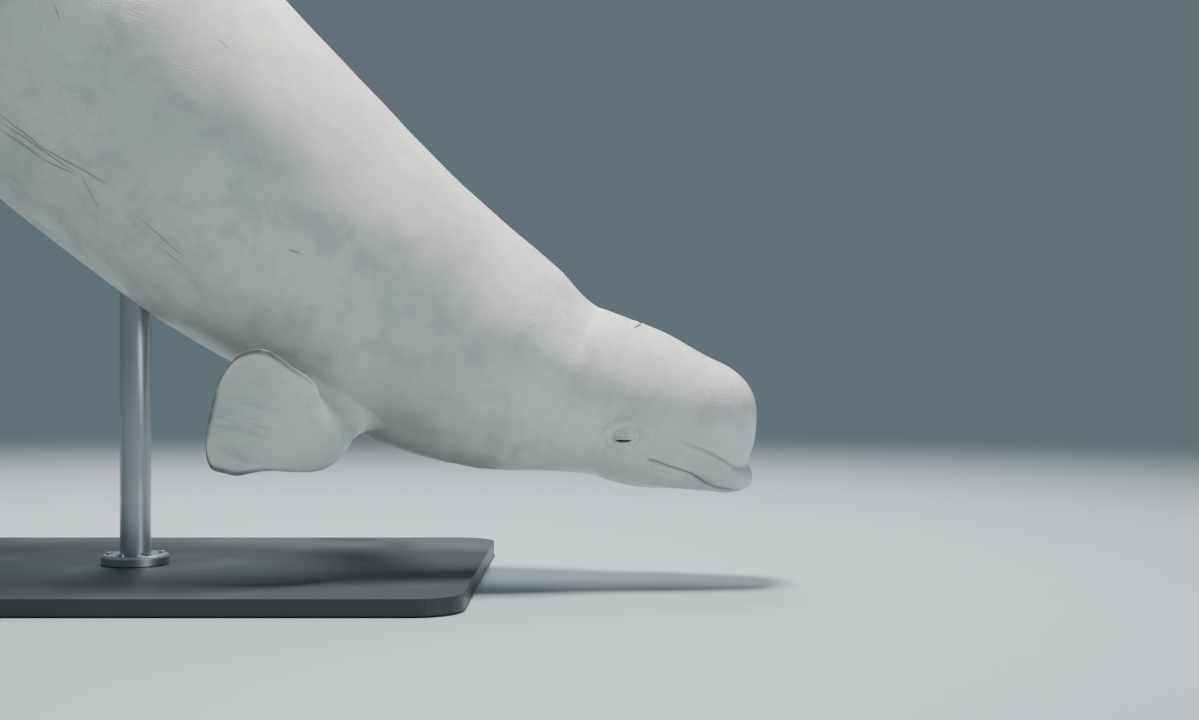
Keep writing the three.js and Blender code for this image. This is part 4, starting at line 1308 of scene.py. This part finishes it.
def skin_material(settings):
    """White whale skin: pale cream under warm grey clouds and fine mottling, painted shade in
    creases, grooves and openings, flippers and flukes a little paler as painted light, fin
    margins brown, old rake marks and scratches, leathery patches in the bump."""
    finish = Finish("beluga_skin")
    tree, coords = finish.tree, finish.coords
    crease, rim = finish.attribute("crease"), finish.attribute("rim")
    fin = finish.attribute("fin", "Vector")
    on_fin = add_node(tree, "SeparateXYZ", {0: fin}, "Z")
    streaks = fin.stretched((1, 0.16, 0)).noise(scale=55, detail=3, roughness=0.66, distortion=0.7)

    wander = (coords.noise(scale=7, detail=1, roughness=0.6) - 0.5) * 0.02
    group, dark_marks, pale_marks = scar_group(), 0.0, 0.0
    for k in range(SCAR_LAYERS):
        inputs = {"Layer": finish.attribute(f"scar_{k}", "Vector"), "Wander": wander}
        inputs |= {"Dark": dark_marks, "Pale": pale_marks}
        dark_marks, pale_marks = add_node(tree, "Group", inputs, "Dark", "Pale", node_tree=group)

    rough = finish.attribute("rough")
    ragged = (coords.noise(scale=24, detail=3, roughness=0.68) - 0.5) * 1.6
    worn = (rough + ragged).ramp(0.42, 0.85) * rough.ramp(0.02, 0.3)

    clouds = coords.pattern(*CLOUDS)
    mottling = coords.pattern(*MOTTLING)
    specks = coords.pattern(*SPECKS)
    tone = painted(clouds * 0.85, settings.tone, settings.cloud)
    tone = painted(mottling * 0.45, tone, settings.mottle)
    tone = painted(specks * 0.14, tone, settings.mottle)
    tone = painted(worn * 0.6, tone, WORN_SKIN)
    tone = painted(pale_marks * 0.55, tone, PALE_SCAR)
    tone = painted(dark_marks * 0.55, tone, settings.scar)
    # Painted light: flippers and flukes a little paler, as if lit from above.
    tone = painted(on_fin * 0.35, tone, FIN_PAINTED_LIGHT)
    patches = coords.pattern(*STREAK_PATCHES)
    drawn = streaks.ramp(0.44, 0.70) * patches * on_fin
    tone = painted(drawn * 0.5, tone, settings.mottle)
    broken = coords.pattern(*BROKEN_RIM)
    tone = painted(rim * broken * 0.85, tone, settings.rim)
    # Painted shade: creases, grooves and openings darkened.
    tone = painted(crease * 0.78, tone, settings.crease)
    finish.shade({
        "Base Color": tone,
        "Roughness": mottling * 0.12 + 0.38 + worn * 0.12,
        "Subsurface Weight": 0.10,
        "Subsurface Radius": (1.0, 0.6, 0.4),
        "Subsurface Scale": 0.010,
        "Specular IOR Level": 0.45,
    })

    crinkle = add_node(tree, "Group", {}, "Height", node_tree=crinkle_group())
    plug(crinkle.socket.node.inputs["Vector"], coords)
    leathery = coords.pattern(*LEATHER) * 0.7 + 0.2 + rough * 1.1
    height = crinkle * (leathery * (1.0 - on_fin * 0.85)) + streaks * (on_fin * 1.3)
    finish.bump(height - dark_marks * 1.1 + pale_marks * 0.7, 0.6, 0.0022)
    return finish.material


def eye_material():
    """A dark wet eye: black pupil, deep brown iris with fine rays, dark edge."""
    finish = Finish("beluga_eye")
    gaze = finish.attribute("gaze")
    iris, edge = gaze.ramp(0.24, 0.3), gaze.ramp(0.62, 0.8)
    rays = finish.coords.noise(scale=900, detail=2, roughness=0.6)
    tone = painted(iris, PUPIL, painted(rays, *IRIS))
    finish.shade({
        "Base Color": painted(edge, tone, EYE_EDGE),
        "Roughness": 0.08,
        "Specular IOR Level": 0.35,
        "Coat Weight": 0.35,
        "Coat Roughness": 0.03,
    })
    return finish.material


def steel_material():
    """Brushed steel: fine lines round the rod in colour, roughness and bump."""
    finish = Finish("stand_brushed_steel")
    lines = finish.coords.stretched((18, 18, 900)).noise(scale=1.0, detail=3, roughness=0.6)
    smears = finish.coords.pattern(*SMEARS)
    rough = lines * 0.14 + smears * 0.08 + 0.24
    finish.shade({"Base Color": painted(lines, *STEEL), "Roughness": rough, "Metallic": 1.0})
    finish.bump(lines, 0.15, 0.0004)
    return finish.material


def base_material():
    """Dark satin paint with a fine orange-peel skin and light dust."""
    finish = Finish("stand_satin_paint")
    dust = finish.coords.pattern(*DUST)
    finish.shade({"Base Color": painted(dust * 0.25, *PAINT), "Roughness": dust * 0.2 + 0.42})
    finish.bump(finish.coords.noise(scale=420, detail=2, roughness=0.5), 0.12, 0.0005)
    return finish.material


def floor_material(settings):
    """Plain pale floor that turns into the studio's own brightness far from the model."""
    finish = Finish("studio_floor")
    tree, coords = finish.tree, finish.coords
    grain = coords.noise(scale=3, detail=3, roughness=0.5)
    tone = painted(grain, settings.floor, [c * 0.96 for c in settings.floor])
    finish.shade({"Base Color": tone, "Roughness": 0.7})
    glow = add_node(tree, "Emission", {"Color": settings.air, "Strength": settings.air_strength})
    away = add_node(tree, "VectorMath", {0: coords}, "Value", operation="LENGTH")
    faded = {"Fac": away.ramp(*FLOOR_FADE), 1: Wire(tree, finish.shader.outputs["BSDF"]), 2: glow}
    plug(finish.output.inputs["Surface"], add_node(tree, "MixShader", faded))
    return finish.material


def floor_mesh(name):
    """The floor: rings of a flat disc round its middle point, facing up."""
    turns = np.arange(FLOOR_TURNS) * 2 * np.pi / FLOOR_TURNS
    rings = np.array(FLOOR_RINGS)[:, None] * 1000
    disc = Surface()
    numbers = disc.add(np.stack([rings * np.cos(turns), rings * np.sin(turns), 0 * rings * turns], -1))
    middle = disc.add(np.zeros((1, 3)))
    disc.strips(numbers)
    disc.cap(numbers[0], middle[0])
    mesh = disc.mesh(name)
    if mesh.polygons[0].normal.z < 0:
        mesh.flip_normals()
    return mesh


def area_light(name, place, target, size, power, colour):
    """A round lamp at a place, turned to its target."""
    data = bpy.data.lights.new(name, "AREA")
    data.shape = "DISK"
    data.size = size
    data.energy = power
    data.color = colour
    light = bpy.data.objects.new(name, data)
    turn = (Vector(target) - Vector(place)).to_track_quat("-Z", "Y")
    light.matrix_world = Matrix.Translation(place) @ turn.to_matrix().to_4x4()
    return light


def level_camera(aim, distance, lens):
    """A camera that looks level along +Y at a point from a distance."""
    data = bpy.data.cameras.new("camera")
    data.lens = lens
    data.sensor_width = 36.0
    data.sensor_fit = "HORIZONTAL"
    data.clip_end = 200.0
    camera = bpy.data.objects.new("camera", data)
    place = aim - Vector((0, distance, 0))
    camera.matrix_world = Matrix.Translation(place) @ Matrix.Rotation(math.pi / 2, 4, "X")
    return camera


def colour(name, description, default):
    """A colour setting."""
    return FloatVectorProperty(name=name, description=description, subtype="COLOR", default=default)


class BelugaSkinSettings(PropertyGroup):
    tone: colour("Skin", "Clean skin", (0.78, 0.765, 0.71))
    cloud: colour("Clouds", "Warm grey clouds", (0.56, 0.56, 0.535))
    mottle: colour("Mottling", "Fine mottling", (0.43, 0.44, 0.43))
    scar: colour("Scars", "Rake marks and scratches", (0.20, 0.185, 0.165))
    # Colour of the painted shade in creases, grooves and openings.
    crease: colour("Creases", "Folds and openings", (0.07, 0.06, 0.055))
    rim: colour("Fin margins", "Edge of flippers and flukes", (0.13, 0.115, 0.10))


class BelugaEyeSettings(PropertyGroup):
    turns: IntProperty(name="Eye detail", description="Points round each eyeball", default=72, min=16)


class BelugaStageSettings(PropertyGroup):
    distance: FloatProperty(name="Camera distance", description="From the whale's middle plane",
                            unit="LENGTH", default=3.7)
    lens: FloatProperty(name="Lens", description="Focal length in millimetres", default=49.81)
    floor: colour("Floor", "Floor colour", (0.36, 0.41, 0.435))
    air: colour("Studio", "Colour round the studio", (0.46, 0.62, 0.70))
    air_strength: FloatProperty(name="Studio strength", description="Brightness round the studio",
                                default=0.27)
    key: FloatProperty(name="Key light", description="Power of the large light overhead", default=520.0)


class BELUGA_OT_skin(Operator):
    """Builds the whale's one skin, with lids, blowhole, flippers and flukes"""

    bl_idname = "beluga.skin"
    bl_label = "Build skin"

    def execute(self, context):
        material = skin_material(context.scene.beluga_skin)
        piece = new_piece("whale_skin", skin_mesh("whale_skin"), material, "skin", *FLESH)
        count = sum(len(face.vertices) - 2 for face in piece.data.polygons)
        if count >= 200000:
            raise RuntimeError(f"the skin has {count} triangles")
        print("skin triangles", count)
        return {"FINISHED"}


class BELUGA_OT_eyes(Operator):
    """Builds the two eyeballs"""

    bl_idname = "beluga.eyes"
    bl_label = "Build eyes"

    def execute(self, context):
        turns = context.scene.beluga_eyes.turns
        material = eye_material()
        for side, which in ((1, "left"), (-1, "right")):
            name = f"eyeball_{which}"
            new_piece(name, eyeball_mesh(name, side, turns), material, "eye", f"eye_{which}")
        return {"FINISHED"}


class BELUGA_OT_stand(Operator):
    """Paints the stand's base and builds round rods and bolted collars"""

    bl_idname = "beluga.stand"
    bl_label = "Build stand"

    def execute(self, context):
        steel, paint = steel_material(), base_material()
        for name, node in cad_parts.items():
            if name.startswith("stand_"):
                node.data.materials.clear()
                node.data.materials.append(paint if name == "stand_base" else steel)
        inner, outer, high = COLLAR
        face = ROD_FOOT + high
        section = [(inner, ROD_FOOT), (outer, ROD_FOOT)]
        section += [(outer, face - COLLAR_SLOPE), (outer - COLLAR_SLOPE, face), (inner, face)]
        collar = eased(section, 0.5)
        bolt = eased([(r, face + z) for r, z in BOLT_HEAD], 0.3)
        for name, x, end in RODS:
            rod = eased([(0, ROD_FOOT), (ROD_RADIUS, ROD_FOOT), (ROD_RADIUS, end), (0, end)], 0.6)
            solids = [(collar, x, 0.0, STAND_TURNS)]
            for a in np.arange(BOLTS) * 2 * np.pi / BOLTS + BOLT_START:
                spot = x + BOLT_CIRCLE * math.cos(a), BOLT_CIRCLE * math.sin(a)
                solids.append((bolt, *spot, BOLT_TURNS))
            for kind, parts in (("rod", [(rod, x, 0.0, STAND_TURNS)]), ("collar", solids)):
                mesh = spun_mesh(f"{kind}_{name}", parts)
                new_piece(mesh.name, mesh, steel, "stand_steel", f"stand_{kind}_{name}")
        return {"FINISHED"}


class BELUGA_OT_stage(Operator):
    """Sets up the floor, the soft lights and the camera"""

    bl_idname = "beluga.stage"
    bl_label = "Set up studio"

    def execute(self, context):
        settings, scene = context.scene.beluga_stage, context.scene
        floor = bpy.data.objects.new("studio_floor", floor_mesh("studio_floor"))
        floor.data.materials.append(floor_material(settings))
        scene.collection.objects.link(floor)

        world = bpy.data.worlds.new("studio_air")
        world.use_nodes = True
        background = world.node_tree.nodes["Background"]
        plug(background.inputs["Color"], settings.air)
        plug(background.inputs["Strength"], settings.air_strength)
        scene.world = world

        for name, place, target, size, share, tint in LIGHTS:
            light = area_light(name, place, target, size, settings.key * share, tint)
            scene.collection.objects.link(light)

        nose = settle(bend(np.zeros(3))) / 1000
        aim = Vector((nose[0] - AIM[0], AIM[1], nose[2] + AIM[2]))
        scene.camera = level_camera(aim, settings.distance, settings.lens)
        scene.collection.objects.link(scene.camera)
        return {"FINISHED"}


class BELUGA_PT_panel(Panel):
    """Lists the operators and their settings"""

    bl_idname = "BELUGA_PT_panel"
    bl_label = "Beluga Model"
    bl_space_type = "VIEW_3D"
    bl_region_type = "UI"
    bl_category = "Beluga"

    def draw(self, context):
        for operator in OPERATORS:
            self.layout.operator(operator.bl_idname)
        for name in SETTINGS:
            settings = getattr(context.scene, name)
            box = self.layout.box()
            for key in settings.__annotations__:
                box.prop(settings, key)


OPERATORS = (BELUGA_OT_skin, BELUGA_OT_eyes, BELUGA_OT_stand, BELUGA_OT_stage)
SETTINGS = {
    "beluga_skin": BelugaSkinSettings,
    "beluga_eyes": BelugaEyeSettings,
    "beluga_stage": BelugaStageSettings,
}
CLASSES = (*SETTINGS.values(), *OPERATORS, BELUGA_PT_panel)


def register():
    for cls in CLASSES:
        bpy.utils.register_class(cls)
    for name, settings in SETTINGS.items():
        setattr(bpy.types.Scene, name, PointerProperty(type=settings))


def unregister():
    for name in SETTINGS:
        delattr(bpy.types.Scene, name)
    for cls in reversed(CLASSES):
        bpy.utils.unregister_class(cls)


def main():
    """Registers the add-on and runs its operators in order."""
    register()
    bpy.ops.beluga.stage()
    bpy.ops.beluga.skin()
    bpy.ops.beluga.eyes()
    bpy.ops.beluga.stand()


if __name__ == "__main__":
    main()
